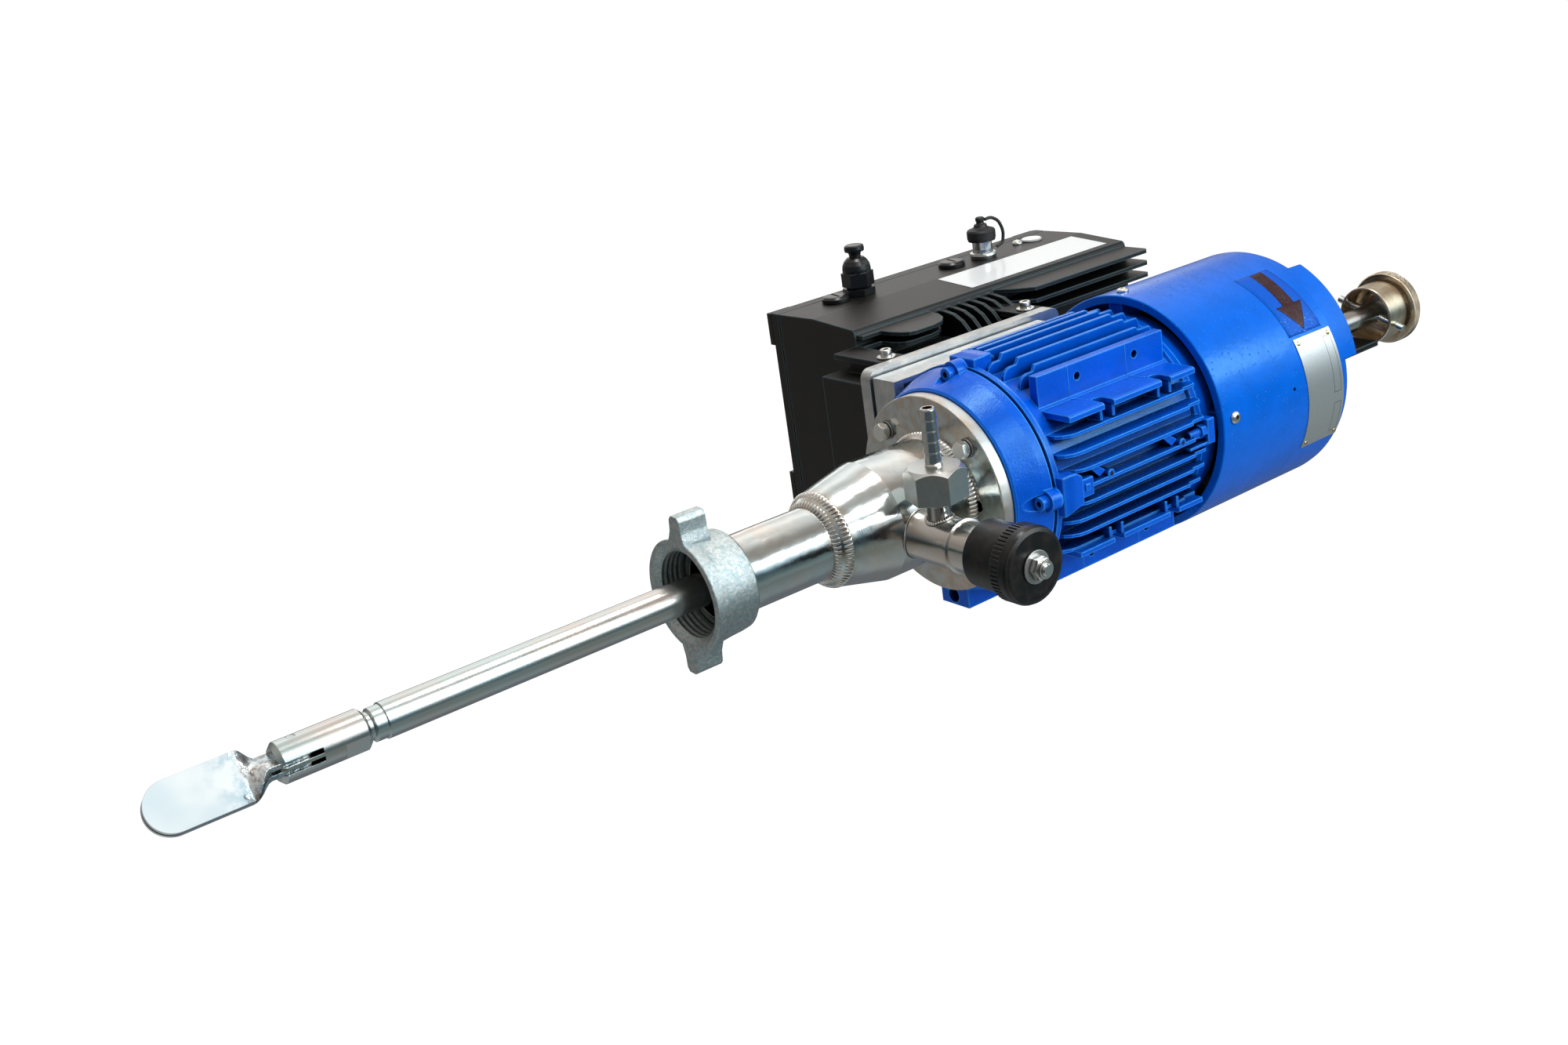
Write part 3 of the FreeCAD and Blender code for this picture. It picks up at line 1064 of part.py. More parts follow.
# Wing nut that screws onto the tank's threaded port
nut_front_x = size("nut_front_x", -24.6)
nut_rear_x = size("nut_rear_x", 16.0)
nut_front_radius = size("nut_front_radius", 42.7)
nut_radius = size("nut_radius", 39.6)
nut_mouth_radius = size("nut_mouth_radius", 38.0)
thread_root_radius = size("thread_root_radius", 34.0)
thread_crest_radius = size("thread_crest_radius", 32.6)
thread_pitch = size("thread_pitch", 4.2)
nut_corners = [
    (nut_front_x + 4.5, thread_crest_radius), (nut_front_x, nut_mouth_radius),
    (nut_front_x, nut_front_radius - 0.8),
    (nut_front_x + 0.8, nut_front_radius), (nut_front_x + 5, nut_front_radius - 0.6),
    (nut_front_x + 12, nut_radius + 1), (nut_front_x + 22, nut_radius), (nut_rear_x - 8, nut_radius - 0.6),
    (nut_rear_x - 2, nut_radius - 1.4), (nut_rear_x, nut_radius - 3.2), (nut_rear_x, tube_radius + nut_gap),
    (collar_length + 0.4, tube_radius + nut_gap), (collar_length + 0.4, collar_radius + 0.5),
    (nut_front_x + 4.5 + thread_pitch * 4.6, collar_radius + 0.5)]
for i in range(4, 0, -1):
    at = nut_front_x + 4.5 + thread_pitch * i
    nut_corners += [(at + 0.5, thread_crest_radius), (at - 0.5, thread_crest_radius),
                    (at - 1.6, thread_root_radius),
                    (at - 2.4, thread_root_radius)]
nut_turned = turned("NutTurned", nut_corners)
wing_height = size("wing_height", 61.5)
wing_base_width = size("wing_base_width", 19.0)
wing_tip_width = size("wing_tip_width", 12.0)
wing_length = size("wing_length", 23.0)
wings = []
for side, sign in (("Up", 1), ("Down", -1)):
    wings.append(prism("Wing" + side, "YZ_Plane", [
        (-wing_base_width * 0.5 * sign, 35 * sign), (-wing_base_width * 0.47 * sign, 42 * sign),
        (-wing_tip_width * 0.55 * sign, (wing_height - 12) * sign),
        (-wing_tip_width * 0.5 * sign, (wing_height - 3) * sign),
        (-wing_tip_width * 0.3 * sign, wing_height * sign),
        (wing_tip_width * 0.3 * sign, wing_height * sign),
        (wing_tip_width * 0.5 * sign, (wing_height - 3) * sign),
        (wing_tip_width * 0.55 * sign, (wing_height - 12) * sign), (wing_base_width * 0.5 * sign, 42 * sign),
        (wing_base_width * 0.56 * sign, 35 * sign)], nut_front_x, wing_length))
wing_room = rod("WingRoom", nut_radius - 2, 60, nut_front_x - 5, 0, 0, ALONG_X)
wings_cut = cut("WingsCut", fuse("WingPair", wings), [wing_room])
wings_cut.Placement = Placement(Vector(0, 0, 0), Rotation(Vector(1, 0, 0), 4))
keep("wing_nut", fuse("WingNut", [nut_turned, wings_cut]))

# Rotor: hollow shaft, rotor core, fan and clamp ring that grips the slim rear shaft
shaft_rear_radius = size("shaft_rear_radius", 10.0)
hollow_x = size("hollow_x", 231.0)
hollow_end_x = size("hollow_end_x", 606.0)
clamp_length = size("clamp_length", 18.0)
keep("hollow_shaft", turned("HollowShaft", [
    (hollow_x, shaft_radius + running_gap), (hollow_x, hollow_shaft_radius - 1),
    (hollow_x + 1, hollow_shaft_radius),
    (hollow_end_x - 40, hollow_shaft_radius), (hollow_end_x - 40, hollow_shaft_radius - 3),
    (hollow_end_x, hollow_shaft_radius - 3), (hollow_end_x, 16), (hollow_end_x - clamp_length, 16),
    (hollow_end_x - clamp_length, shaft_radius + running_gap)]))
keep("shaft_clamp_ring", ring("ClampRing", hollow_end_x - clamp_length, clamp_length,
                              shaft_rear_radius + running_gap, 16, 0.3))
keep("rotor_core", ring("RotorCore", stator_x, stator_length, hollow_shaft_radius, air_gap_radius, 0.8))
fan_x = size("fan_x", 474.0)
fan_radius = size("fan_radius", 90.0)
fan_disc = turned("FanDisc", [
    (fan_x, hollow_shaft_radius), (fan_x, 32), (fan_x + 8, 34), (fan_x + 12, fan_radius),
    (fan_x + 15, fan_radius), (fan_x + 12, 34), (fan_x + 26, 30), (fan_x + 26, hollow_shaft_radius)])
fan_blade_count = 9
fan_blades = [spoke("FanBlade%d" % i, fan_x + 11, 29, 20, 2.4, fan_radius - 31, 360.0 * i / fan_blade_count)
              for i in range(fan_blade_count)]
keep("cooling_fan", fuse("CoolingFan", [fan_disc] + fan_blades))

# Agitator shaft: thick front, slim rear, necked beside the paddle hub
hub_rear_x = size("hub_rear_x", -273.0)
hub_front_x = size("hub_front_x", -334.0)
hub_radius = size("hub_radius", 14.0)
step_x = size("step_x", 318.0)
shaft_end_x = size("shaft_end_x", 817.0)
pin_x = size("pin_x", -320.0)
pin_radius = size("pin_radius", 3.0)
cross_pin_x = size("cross_pin_x", 791.0)
cross_pin_radius = size("cross_pin_radius", 3.5)
cross_pin_length = size("cross_pin_length", 73.0)
shaft_turned = turned("ShaftTurned", [
    (hub_rear_x - 22, 0), (hub_rear_x - 22, 8), (hub_rear_x, 8), (hub_rear_x, 9.6), (hub_rear_x + 3, 9.6),
    (hub_rear_x + 4.5, shaft_radius - 1.0), (hub_rear_x + 12, shaft_radius - 1.0),
    (hub_rear_x + 12.5, shaft_radius),
    (step_x, shaft_radius), (step_x + 2, shaft_rear_radius), (shaft_end_x - 1, shaft_rear_radius),
    (shaft_end_x, shaft_rear_radius - 1), (shaft_end_x, 0)])
cross_pin_lean = math.radians(18)


def cross_rod(name, radius, length):
    """A rod through the shaft axis at the cross pin's place and lean."""
    half = as_size(length) * 0.5
    c = math.cos(cross_pin_lean)
    s = math.sin(cross_pin_lean)
    return rod(name, radius, length, cross_pin_x, half * c, half * s,
               Rotation(Vector(0, 0, 1), Vector(0, -c, -s)))


keep("agitator_shaft",
     cut("AgitatorShaft", shaft_turned, [cross_rod("ShaftCrossHole", cross_pin_radius + 0.05, 80)]))

# Paddle hub: two slots for the tangs, flats for a wrench, pin bore
slot_level = size("slot_level", 2.8)
tang_thickness = size("tang_thickness", 3.0)
slot_depth = size("slot_depth", 28.0)
hub_flat_depth = size("hub_flat_depth", 1.8)
hub_turned = turned("HubTurned", [
    (hub_front_x, 0), (hub_front_x, hub_radius - 3), (hub_front_x + 3, hub_radius),
    (hub_rear_x - 2.5, hub_radius),
    (hub_rear_x, hub_radius - 2.5), (hub_rear_x, 8.02), (hub_rear_x - 22.1, 8.02), (hub_rear_x - 22.1, 0)])
hub_cuts = []
for side, sign in (("Up", 1), ("Down", -1)):
    hub_cuts.append(box("HubSlot" + side, hub_front_x - 1, -20,
                        slot_level * sign - tang_thickness / 2 - 0.15,
                        slot_depth + 1, 40, tang_thickness + 0.3))
    flat_angle = 28 + (180 if sign < 0 else 0)
    hub_cuts.append(spoke("HubFlat" + side, hub_rear_x - 19, hub_radius - hub_flat_depth, 17, 40, 6,
                          flat_angle))
hub_cuts.append(rod("HubPinHole", pin_radius, 40, pin_x, 0, -20))
keep("blade_hub", cut("BladeHub", hub_turned, hub_cuts))
keep("blade_pin", rod("BladePin", pin_radius, (hub_radius - 0.35) * 2, pin_x, 0, -hub_radius + 0.35))

# Folding blades: tang on the pin, twisted neck, rounded pitched plate
tang_width = size("tang_width", 23.0)
blade_width = size("blade_width", 34.5)
neck_start_x = size("neck_start_x", -341.0)
neck_end_x = size("neck_end_x", -354.0)
blade_tip_x = size("blade_tip_x", -416.0)
blade_pitch = size("blade_pitch", 52.0)


def slab(x, width, thickness, level, pitch):
    """A rectangular section across X, raised by level along its own normal after the pitch."""
    turn = Rotation(Vector(1, 0, 0), pitch)
    corners = []
    for a, b in ((-0.5, -0.5), (0.5, -0.5), (0.5, 0.5), (-0.5, 0.5)):
        corners.append(turn.multVec(Vector(0, a * width, level + b * thickness)) + Vector(x, 0, 0))
    return Part.makePolygon(corners + corners[:1])


def blade_shape(level):
    thick = tang_thickness.value
    pin_at = pin_x.value
    bottom = level - thick / 2
    eye = Part.makeCylinder(tang_width.value / 2, thick, Vector(pin_at, 0, bottom))
    tang = Part.makeBox(pin_at - neck_start_x.value, tang_width.value, thick,
                        Vector(neck_start_x.value, -tang_width.value / 2, bottom))
    sections = []
    steps = 6
    for i in range(steps + 1):
        share = i / steps
        ease = share * share * (3 - 2 * share)
        x = neck_start_x.value + (neck_end_x.value - neck_start_x.value) * share
        width = tang_width.value + (blade_width.value - tang_width.value) * ease
        sections.append(slab(x, width, thick, level, blade_pitch.value * ease))
    neck_piece = Part.makeLoft(sections, True, True)
    half = blade_width.value / 2
    back = neck_end_x.value
    tip = blade_tip_x.value
    knee = tip + half * 1.05
    path = [Part.LineSegment(Vector(back, -half, 0), Vector(knee, -half, 0)).toShape(),
            Part.Arc(Vector(knee, -half, 0), Vector(tip, 0.5, 0), Vector(knee, half, 0)).toShape(),
            Part.LineSegment(Vector(knee, half, 0), Vector(back, half, 0)).toShape(),
            Part.LineSegment(Vector(back, half, 0), Vector(back, -half, 0)).toShape()]
    plate = Part.Face(Part.Wire(path)).extrude(Vector(0, 0, thick))
    plate.translate(Vector(0, 0, bottom))
    plate.rotate(Vector(0, 0, 0), Vector(1, 0, 0), blade_pitch.value)
    hole = Part.makeCylinder(pin_radius.value + running_gap.value, thick + 2, Vector(pin_at, 0, bottom - 1))
    return eye.fuse([tang, neck_piece, plate]).cut(hole).removeSplitter()


for label, name, sign in (("blade_upper", "BladeUpper", 1), ("blade_lower", "BladeLower", -1)):
    blade = doc.addObject("Part::Feature", name)
    blade.Shape = blade_shape(slot_level.value * sign)
    keep(label, blade)

# Hand knob at the rear: hollow hub and knurled disc, pinned to the shaft
hand_hub_x = size("hand_hub_x", 781.0)
hand_disc_x = size("hand_disc_x", 811.0)
hand_end_x = size("hand_end_x", 820.5)
hand_hub_radius = size("hand_hub_radius", 27.8)
hand_disc_radius = size("hand_disc_radius", 34.6)
hand_turned = turned("HandTurned", [
    (hand_hub_x, hand_hub_radius - 2.2), (hand_hub_x, hand_hub_radius - 0.8),
    (hand_hub_x + 0.8, hand_hub_radius),
    (hand_disc_x - 4, hand_hub_radius), (hand_disc_x - 3, hand_hub_radius - 2.2),
    (hand_disc_x, hand_hub_radius - 2.2),
    (hand_disc_x, hand_disc_radius - 1.2), (hand_disc_x + 1.2, hand_disc_radius),
    (hand_end_x - 1.2, hand_disc_radius), (hand_end_x, hand_disc_radius - 1.2),
    (hand_end_x, shaft_rear_radius),
    (hand_disc_x - 8, shaft_rear_radius), (hand_disc_x - 8, shaft_rear_radius + 4),
    (hand_disc_x - 3, hand_hub_radius - 6), (hand_disc_x - 8, hand_hub_radius - 2.2)])
keep("rear_knob", cut("RearKnob", hand_turned, [cross_rod("KnobCrossHole", cross_pin_radius, 80)]))
keep("knob_cross_pin", cross_rod("KnobCrossPin", cross_pin_radius, cross_pin_length))

# Check every object, then write one file per piece
doc.recompute()
faults = []
for thing in doc.Objects:
    if "Invalid" in thing.State or "Error" in thing.State:
        faults.append("%s state %s" % (thing.Name, thing.State))
for piece in pieces:
    if piece.Shape.isNull() or not piece.Shape.isValid():
        faults.append("%s shape is not valid" % piece.Label)
    elif len(piece.Shape.Solids) < 1:
        faults.append("%s has no solid" % piece.Label)
if faults:
    raise RuntimeError("\n".join(faults))
os.makedirs("parts", exist_ok=True)
for piece in pieces:
    piece.Shape.exportStep("parts/%s.step" % piece.Label)
    print("%-20s solids %d volume %.0f" % (piece.Label, len(piece.Shape.Solids), piece.Shape.Volume))
print("pieces:", len(pieces))
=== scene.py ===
import math

import bpy
import numpy as np
from mathutils import Matrix


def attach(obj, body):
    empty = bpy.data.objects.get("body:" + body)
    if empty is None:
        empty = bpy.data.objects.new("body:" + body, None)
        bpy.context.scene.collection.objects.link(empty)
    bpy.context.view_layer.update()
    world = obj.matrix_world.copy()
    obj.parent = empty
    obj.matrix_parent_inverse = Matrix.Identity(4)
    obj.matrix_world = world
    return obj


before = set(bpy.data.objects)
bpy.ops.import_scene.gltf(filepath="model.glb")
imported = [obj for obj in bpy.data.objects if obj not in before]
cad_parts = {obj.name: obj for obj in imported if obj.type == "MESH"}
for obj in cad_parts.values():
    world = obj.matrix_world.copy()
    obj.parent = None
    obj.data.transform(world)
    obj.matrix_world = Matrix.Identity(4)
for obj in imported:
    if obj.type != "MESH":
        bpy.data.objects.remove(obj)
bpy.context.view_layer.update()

# The studio: a white room with five soft lamps, a pale floor far below the part, which its tank
# mount holds up, and a camera that stands where the photographer stood.
camera_place = (-0.62358, -0.98847, 0.45832)
camera_turn = math.radians(-35.11)
camera_rise = math.radians(19.75)
camera_roll = math.radians(-8.38)
frame_width_pixels = 2000
focal_pixels = 2227.56
floor_height = -0.62


def camera_axes(turn, rise, roll):
    """Right, up and back of a camera: turned about the vertical, raised, then rolled about its own axis."""
    back = np.array([math.sin(turn) * math.cos(rise), -math.cos(turn) * math.cos(rise), math.sin(rise)])
    level = np.array([math.cos(turn), math.sin(turn), 0.0])
    above = np.cross(back, level)
    right = level * math.cos(roll) + above * math.sin(roll)
    up = above * math.cos(roll) - level * math.sin(roll)
    return np.array([right, up, back])


camera_data = bpy.data.cameras.new("camera")
camera_data.sensor_width = 36.0
camera_data.lens = focal_pixels / frame_width_pixels * camera_data.sensor_width
camera_data.clip_start = 0.01
camera_data.clip_end = 50.0
camera = bpy.data.objects.new("camera", camera_data)
pose = np.eye(4)
pose[:3, :3] = camera_axes(camera_turn, camera_rise, camera_roll).T
pose[:3, 3] = camera_place
camera.matrix_world = Matrix(pose.tolist())
bpy.context.collection.objects.link(camera)
bpy.context.scene.camera = camera
bpy.context.scene.view_settings.view_transform = "Standard"


class Socket:
    """An output of a shader node. Sums, products and powers of sockets add the Math nodes they need."""

    def __init__(self, tree, plug):
        self.tree = tree
        self.plug = plug

    def node(self, kind, settings=None, inputs=None, output=0):
        """Adds a node: its settings first, then the values or links of its sockets."""
        made = self.tree.nodes.new(kind)
        for key, value in (settings or {}).items():
            if key == "stops":
                while len(made.color_ramp.elements) < len(value):
                    made.color_ramp.elements.new(0.5)
                for stop, (at, colour) in zip(made.color_ramp.elements, value):
                    stop.position = at
                    stop.color = (*colour, 1.0)
            else:
                setattr(made, key, value)
        for key, value in (inputs or {}).items():
            self.feed(made.inputs[key], value)
        return Socket(self.tree, made.outputs[output])

    def feed(self, plug, value):
        if isinstance(value, Socket):
            self.tree.links.new(value.plug, plug)
        elif plug.type == "RGBA" and len(value) == 3:
            plug.default_value = (*value, 1.0)
        else:
            plug.default_value = value

    def maths(self, operation, *others):
        """A Math node that takes this socket first and the others after it."""
        return self.node("ShaderNodeMath", {"operation": operation}, dict(enumerate((self, *others))))

    def __add__(self, other):
        return self.maths("ADD", other)

    def __sub__(self, other):
        return self.maths("SUBTRACT", other)

    def __rsub__(self, other):
        return self.node("ShaderNodeMath", {"operation": "SUBTRACT"}, {0: other, 1: self})

    def __mul__(self, other):
        return self.maths("MULTIPLY", other)

    def __pow__(self, other):
        return self.maths("POWER", other)

    __radd__ = __add__
    __rmul__ = __mul__

    def ramp(self, stops):
        """Colour along a row of stops, each a place from 0 to 1 and its colour."""
        return self.node("ShaderNodeValToRGB", {"stops": stops}, {0: self})

    def step(self, low, high):
        """0 below low, 1 above high, and smooth between."""
        settings = {"interpolation_type": "SMOOTHSTEP"}
        return self.node("ShaderNodeMapRange", settings, {0: self, 1: low, 2: high, 3: 0.0, 4: 1.0})

    def scaled(self, x, y, z):
        return self.node("ShaderNodeVectorMath", {"operation": "MULTIPLY"}, {0: self, 1: (x, y, z)})

    def moved(self, x, y, z):
        return self.node("ShaderNodeVectorMath", {"operation": "ADD"}, {0: self, 1: (x, y, z)})

    def parts(self):
        split = self.node("ShaderNodeSeparateXYZ", {}, {0: self}).plug.node
        return [Socket(self.tree, plug) for plug in split.outputs]

    def noise(self, scale, detail=3.0, rough=0.55):
        inputs = {"Vector": self, "Scale": scale, "Detail": detail, "Roughness": rough}
        return self.node("ShaderNodeTexNoise", {}, inputs)

    def specks(self, scale):
        """Distance from the nearest of scattered points, 0 at each point."""
        return self.node("ShaderNodeTexVoronoi", {}, {"Vector": self, "Scale": scale})

    def blend(self, first, second):
        """Colour that goes from first to second as this socket goes from 0 to 1."""
        return self.node("ShaderNodeMix", {"data_type": "RGBA"}, {0: self, 6: first, 7: second}, output=2)

    def shaders(self, first, second):
        """Shader that goes from first to second as this socket goes from 0 to 1."""
        return self.node("ShaderNodeMixShader", {}, {0: self, 1: first, 2: second})

    def ray(self, kind):
        """1 where the light path is of this kind, and 0 elsewhere."""
        path = self.node("ShaderNodeLightPath").plug.node
        return Socket(self.tree, path.outputs[kind])


class Finish:
    """A material under way: its shader, the place on the piece, and the bumps gathered for it."""

    def __init__(self, name, colour, rough, metal=0.0, coat=0.0, coat_rough=0.05):
        self.material = bpy.data.materials.new(name)
        self.material.use_nodes = True
        tree = self.material.node_tree
        self.shader = tree.nodes["Principled BSDF"]
        self.start = Socket(tree, None)
        self.place = self.start.node("ShaderNodeTexCoord", output=3)
        self.normal = None
        self.set("Base Color", colour)
        self.set("Roughness", rough)
        self.set("Metallic", metal)
        self.set("Coat Weight", coat)
        self.set("Coat Roughness", coat_rough)

    def set(self, plug, value):
        self.start.feed(self.shader.inputs[plug], value)

    def round_edges(self, radius):
        """Edges catch the light as if they were rounded by radius."""
        self.normal = self.start.node("ShaderNodeBevel", {"samples": 4}, {"Radius": radius})
        self.set("Normal", self.normal)

    def crevices(self, reach):
        """1 on open surfaces and less towards gaps and corners, within reach: the mask for painted shade."""
        inputs = {"Distance": reach}
        return self.start.node("ShaderNodeAmbientOcclusion", {"samples": 8}, inputs, output=1)

    def edges(self, radius):
        """0 on open surfaces and up to 1 at outward and inward edges, within radius: the mask for painted
        highlights.
        """
        soft = self.start.node("ShaderNodeBevel", {"samples": 4}, {"Radius": radius})
        sharp = self.start.node("ShaderNodeNewGeometry", output=1)
        inputs = {0: soft, 1: sharp}
        likeness = self.start.node("ShaderNodeVectorMath", {"operation": "DOT_PRODUCT"}, inputs, output=1)
        return (1 - likeness).step(0.01, 0.12)

    def bump(self, height, depth):
        """Adds relief of this depth to the relief that is already there."""
        inputs = {"Height": height, "Distance": depth}
        if self.normal is not None:
            inputs["Normal"] = self.normal
        self.normal = self.start.node("ShaderNodeBump", {}, inputs)
        self.set("Normal", self.normal)


def dress(material, *nodes):
    """Gives CAD nodes their finish."""
    for name in nodes:
        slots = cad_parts[name].data.materials
        slots.clear()
        slots.append(material)


# The room: the camera sees it white. Polished metal sees, in front, a cool grey floor, a dark line
# of furniture at eye level, a bright window and a warm grey ceiling. The far side and the ends are
# plainer, with a bright strip towards the motor's rear.
world = bpy.data.worlds.new("room")
bpy.context.scene.world = world
world.use_nodes = True
room_tree = world.node_tree
room_start = Socket(room_tree, None)
across_room, into_room, up_room = room_start.node("ShaderNodeTexCoord", output=0).parts()
front_stops = [(0.0, (0.36, 0.40, 0.42)), (0.10, (0.26, 0.31, 0.32)), (0.225, (0.20, 0.23, 0.22)),
               (0.29, (0.24, 0.30, 0.30)), (0.375, (0.11, 0.16, 0.17)), (0.475, (0.06, 0.10, 0.12)),
               (0.53, (0.38, 0.54, 0.62)), (0.575, (1.05, 1.20, 1.26)), (0.74, (1.08, 1.18, 1.18)),
               (0.785, (0.50, 0.46, 0.43)), (0.85, (0.38, 0.32, 0.28)), (1.0, (0.62, 0.58, 0.54))]
rear_stops = [(0.0, (0.20, 0.22, 0.24)), (0.25, (0.13, 0.15, 0.17)), (0.42, (0.10, 0.11, 0.12)),
              (0.52, (0.30, 0.30, 0.29)), (0.585, (1.75, 1.72, 1.66)), (0.68, (0.95, 0.93, 0.90)),
              (0.83, (1.60, 1.54, 1.48)), (0.93, (0.85, 0.80, 0.75)), (1.0, (0.85, 0.80, 0.75))]
far_stops = [(0.0, (0.46, 0.47, 0.47)), (0.25, (0.30, 0.30, 0.29)), (0.42, (0.24, 0.23, 0.22)),
             (0.55, (0.18, 0.17, 0.16)), (0.70, (0.40, 0.37, 0.34)), (1.0, (0.80, 0.75, 0.70))]
level_stops = [(0.0, (0.50, 0.52, 0.52)), (0.10, (0.36, 0.42, 0.42)), (0.29, (0.13, 0.12, 0.09)),
               (0.375, (0.04, 0.055, 0.07)), (0.475, (0.05, 0.08, 0.10)), (0.60, (0.22, 0.25, 0.27)),
               (0.785, (0.40, 0.37, 0.34)), (1.0, (0.62, 0.58, 0.54))]
height_share = up_room * 0.5 + 0.5
facing_window = across_room.step(0.05, 0.30)
front_wall = facing_window.blend(height_share.ramp(level_stops), height_share.ramp(front_stops))
wall_end = across_room.step(0.70, 0.77).blend(height_share.ramp(rear_stops), (0.30, 0.29, 0.28))
below = height_share.step(0.40, 0.52).blend(height_share.ramp(rear_stops), wall_end)
rear_wall = across_room.step(-0.15, 0.20).blend(height_share.ramp(far_stops), below)
walls = into_room.step(-0.30, 0.15).blend(front_wall, rear_wall)
plain_light = (0.27, 0.28, 0.29)
white = (1.0, 1.0, 1.0)
reflected = room_start.ray("Is Glossy Ray").blend(plain_light, walls)
seen_straight = room_start.ray("Is Camera Ray").maths("MAXIMUM", room_start.ray("Is Transmission Ray"))
room_start.feed(room_tree.nodes["Background"].inputs["Color"], seen_straight.blend(reflected, white))


def lamp(name, place, aim, wide, high, watts, colour):
    """A soft rectangular lamp that points at aim."""
    data = bpy.data.lights.new(name, "AREA")
    data.shape = "RECTANGLE"
    data.size = wide
    data.size_y = high
    data.energy = watts
    data.color = colour
    made = bpy.data.objects.new(name, data)
    back = np.array(place, float) - np.array(aim, float)
    back /= np.linalg.norm(back)
    level = np.cross((0.0, 0.0, 1.0), back)
    level /= np.linalg.norm(level)
    turn = np.eye(4)
    turn[:3, :3] = np.array([level, np.cross(back, level), back]).T
    turn[:3, 3] = place
    made.matrix_world = Matrix(turn.tolist())
    bpy.context.collection.objects.link(made)
    return made


lamp("front_lamp", place=(0.97, -1.20, 0.60), aim=(0.38, 0, 0.1), wide=1.45, high=0.42, watts=14,
     colour=(0.92, 0.98, 1.0))
lamp("upper_lamp", place=(0.33, -1.12, 1.12), aim=(0.20, 0, 0.0), wide=0.5, high=0.4, watts=6,
     colour=(0.96, 0.99, 1.0))
lamp("top_lamp", place=(0.43, 0.02, 1.35), aim=(0.25, 0, 0.0), wide=0.34, high=0.34, watts=7,
     colour=(1.0, 0.99, 0.97))
lamp("blade_lamp", place=(-0.085, -0.86, 1.07), aim=(-0.385, 0, 0.0), wide=0.75, high=0.75, watts=1.35,
     colour=(0.84, 0.96, 1.0))
back_lamp = lamp("back_lamp", place=(1.10, 1.45, 0.78), aim=(0.45, 0.24, 0.15), wide=0.7, high=0.5,
                 watts=2.2, colour=(1.0, 0.98, 0.96))
back_lamp.visible_glossy = False

# The floor: pale and lightly shaded under the part, and left out of what polished metal sees.
floor_mesh = bpy.data.meshes.new("floor")
floor_reach = 40.0
floor_signs = ((-1, -1), (1, -1), (1, 1), (-1, 1))
floor_corners = [(x * floor_reach, y * floor_reach, floor_height) for x, y in floor_signs]
floor_mesh.from_pydata(floor_corners, [], [(0, 1, 2, 3)])
floor = bpy.data.objects.new("floor", floor_mesh)
bpy.context.collection.objects.link(floor)
floor_finish = Finish("pale_floor", (0.82, 0.82, 0.81), 0.7)
floor_start = floor_finish.start
floor_glow_share = 0.93
matt = Socket(floor_start.tree, floor_finish.shader.outputs[0])
glow = floor_start.node("ShaderNodeEmission", {}, {"Color": (1.12, 1.12, 1.12)})
clear = floor_start.node("ShaderNodeBsdfTransparent")
shaded = (floor_start.ray("Is Camera Ray") * floor_glow_share).shaders(matt, glow)
floor_skin = floor_start.ray("Is Glossy Ray").shaders(shaded, clear)
floor_start.feed(floor_start.tree.nodes["Material Output"].inputs["Surface"], floor_skin)
floor_mesh.materials.append(floor_finish.material)


# The lantern: tank tube, bulb and motor flange, welded from stainless steel and polished.
# Turning has left fine rings, and the heat of the welds a straw tint beside each bead.
def from_axis(first, second):
    """Distance from an axis, given the two places across it."""
    return (first * first + second * second) ** 0.5


def turned_rings(place, centre=(0, 0, 0), axis="x"):
    """Noise that changes fast along the axis and outward from it, and slowly round it: turning marks."""
    ring_rate, round_rate = 900.0, 9.0
    along, first, second = [(0, 1, 2), (1, 0, 2), (2, 0, 1)]["xyz".index(axis)]
    parts = place.moved(*[-v for v in centre]).parts()
    lines = (parts[along] + from_axis(parts[first], parts[second])) * ring_rate
    inputs = {0: lines, 1: parts[first] * round_rate, 2: parts[second] * round_rate}
    return place.node("ShaderNodeCombineXYZ", {}, inputs).noise(1.0, 2.0)


def steel_clouds(place, warm, cool):
    """Clouds of two greys, some centimetres across."""
    return place.noise(14.0, 4.0).step(0.40, 0.60).blend(warm, cool)


def smears(place):
    """Fine uneven streaks along the shaft, as wiping leaves them."""
    return place.scaled(1, 3, 3).noise(60.0, 5.0, 0.7)


steel_warm = (0.66, 0.61, 0.56)
steel_cool = (0.56, 0.62, 0.63)
straw = (0.50, 0.40, 0.28)
steel_painted_shade = (0.07, 0.065, 0.06)


def polished_steel(name, rough, warm=steel_warm, cool=steel_cool, centre=(0, 0, 0), axis="x", edge=0.0005,
                   waves=0.0003, ring_depth=0.00004):
    """Polished stainless: clouds of warm and cool grey, turning rings, a slightly uneven surface and painted
    shade in its crevices.
    """
    made = Finish(name, warm, rough, metal=1.0)
    rings = turned_rings(made.place, centre, axis)
    # Painted shade: the colour goes dark towards gaps and corners.
    unshaded_share = made.crevices(0.010).step(0.15, 0.60)
    made.set("Base Color", unshaded_share.blend(steel_painted_shade, steel_clouds(made.place, warm, cool)))
    made.set("Roughness", rings * 0.10 + smears(made.place) * 0.14 + (rough - 0.12))
    made.round_edges(edge)
    made.bump(made.place.noise(38.0, 2.0), waves)
    made.bump(rings, ring_depth)
    return made


lantern = polished_steel("polished_lantern", 0.16, waves=0.0009)
lantern_x, lantern_y, lantern_z = lantern.place.parts()
tube_weld_x = 0.0975
flange_weld_x = 0.2135
rim_start_radius = 0.0785
rim_end_radius = 0.0795


def heat_beside(weld_x, near, far):
    """1 over a weld, and down to 0 between near and far from it."""
    return 1 - (lantern_x - weld_x).maths("ABSOLUTE").step(near, far)


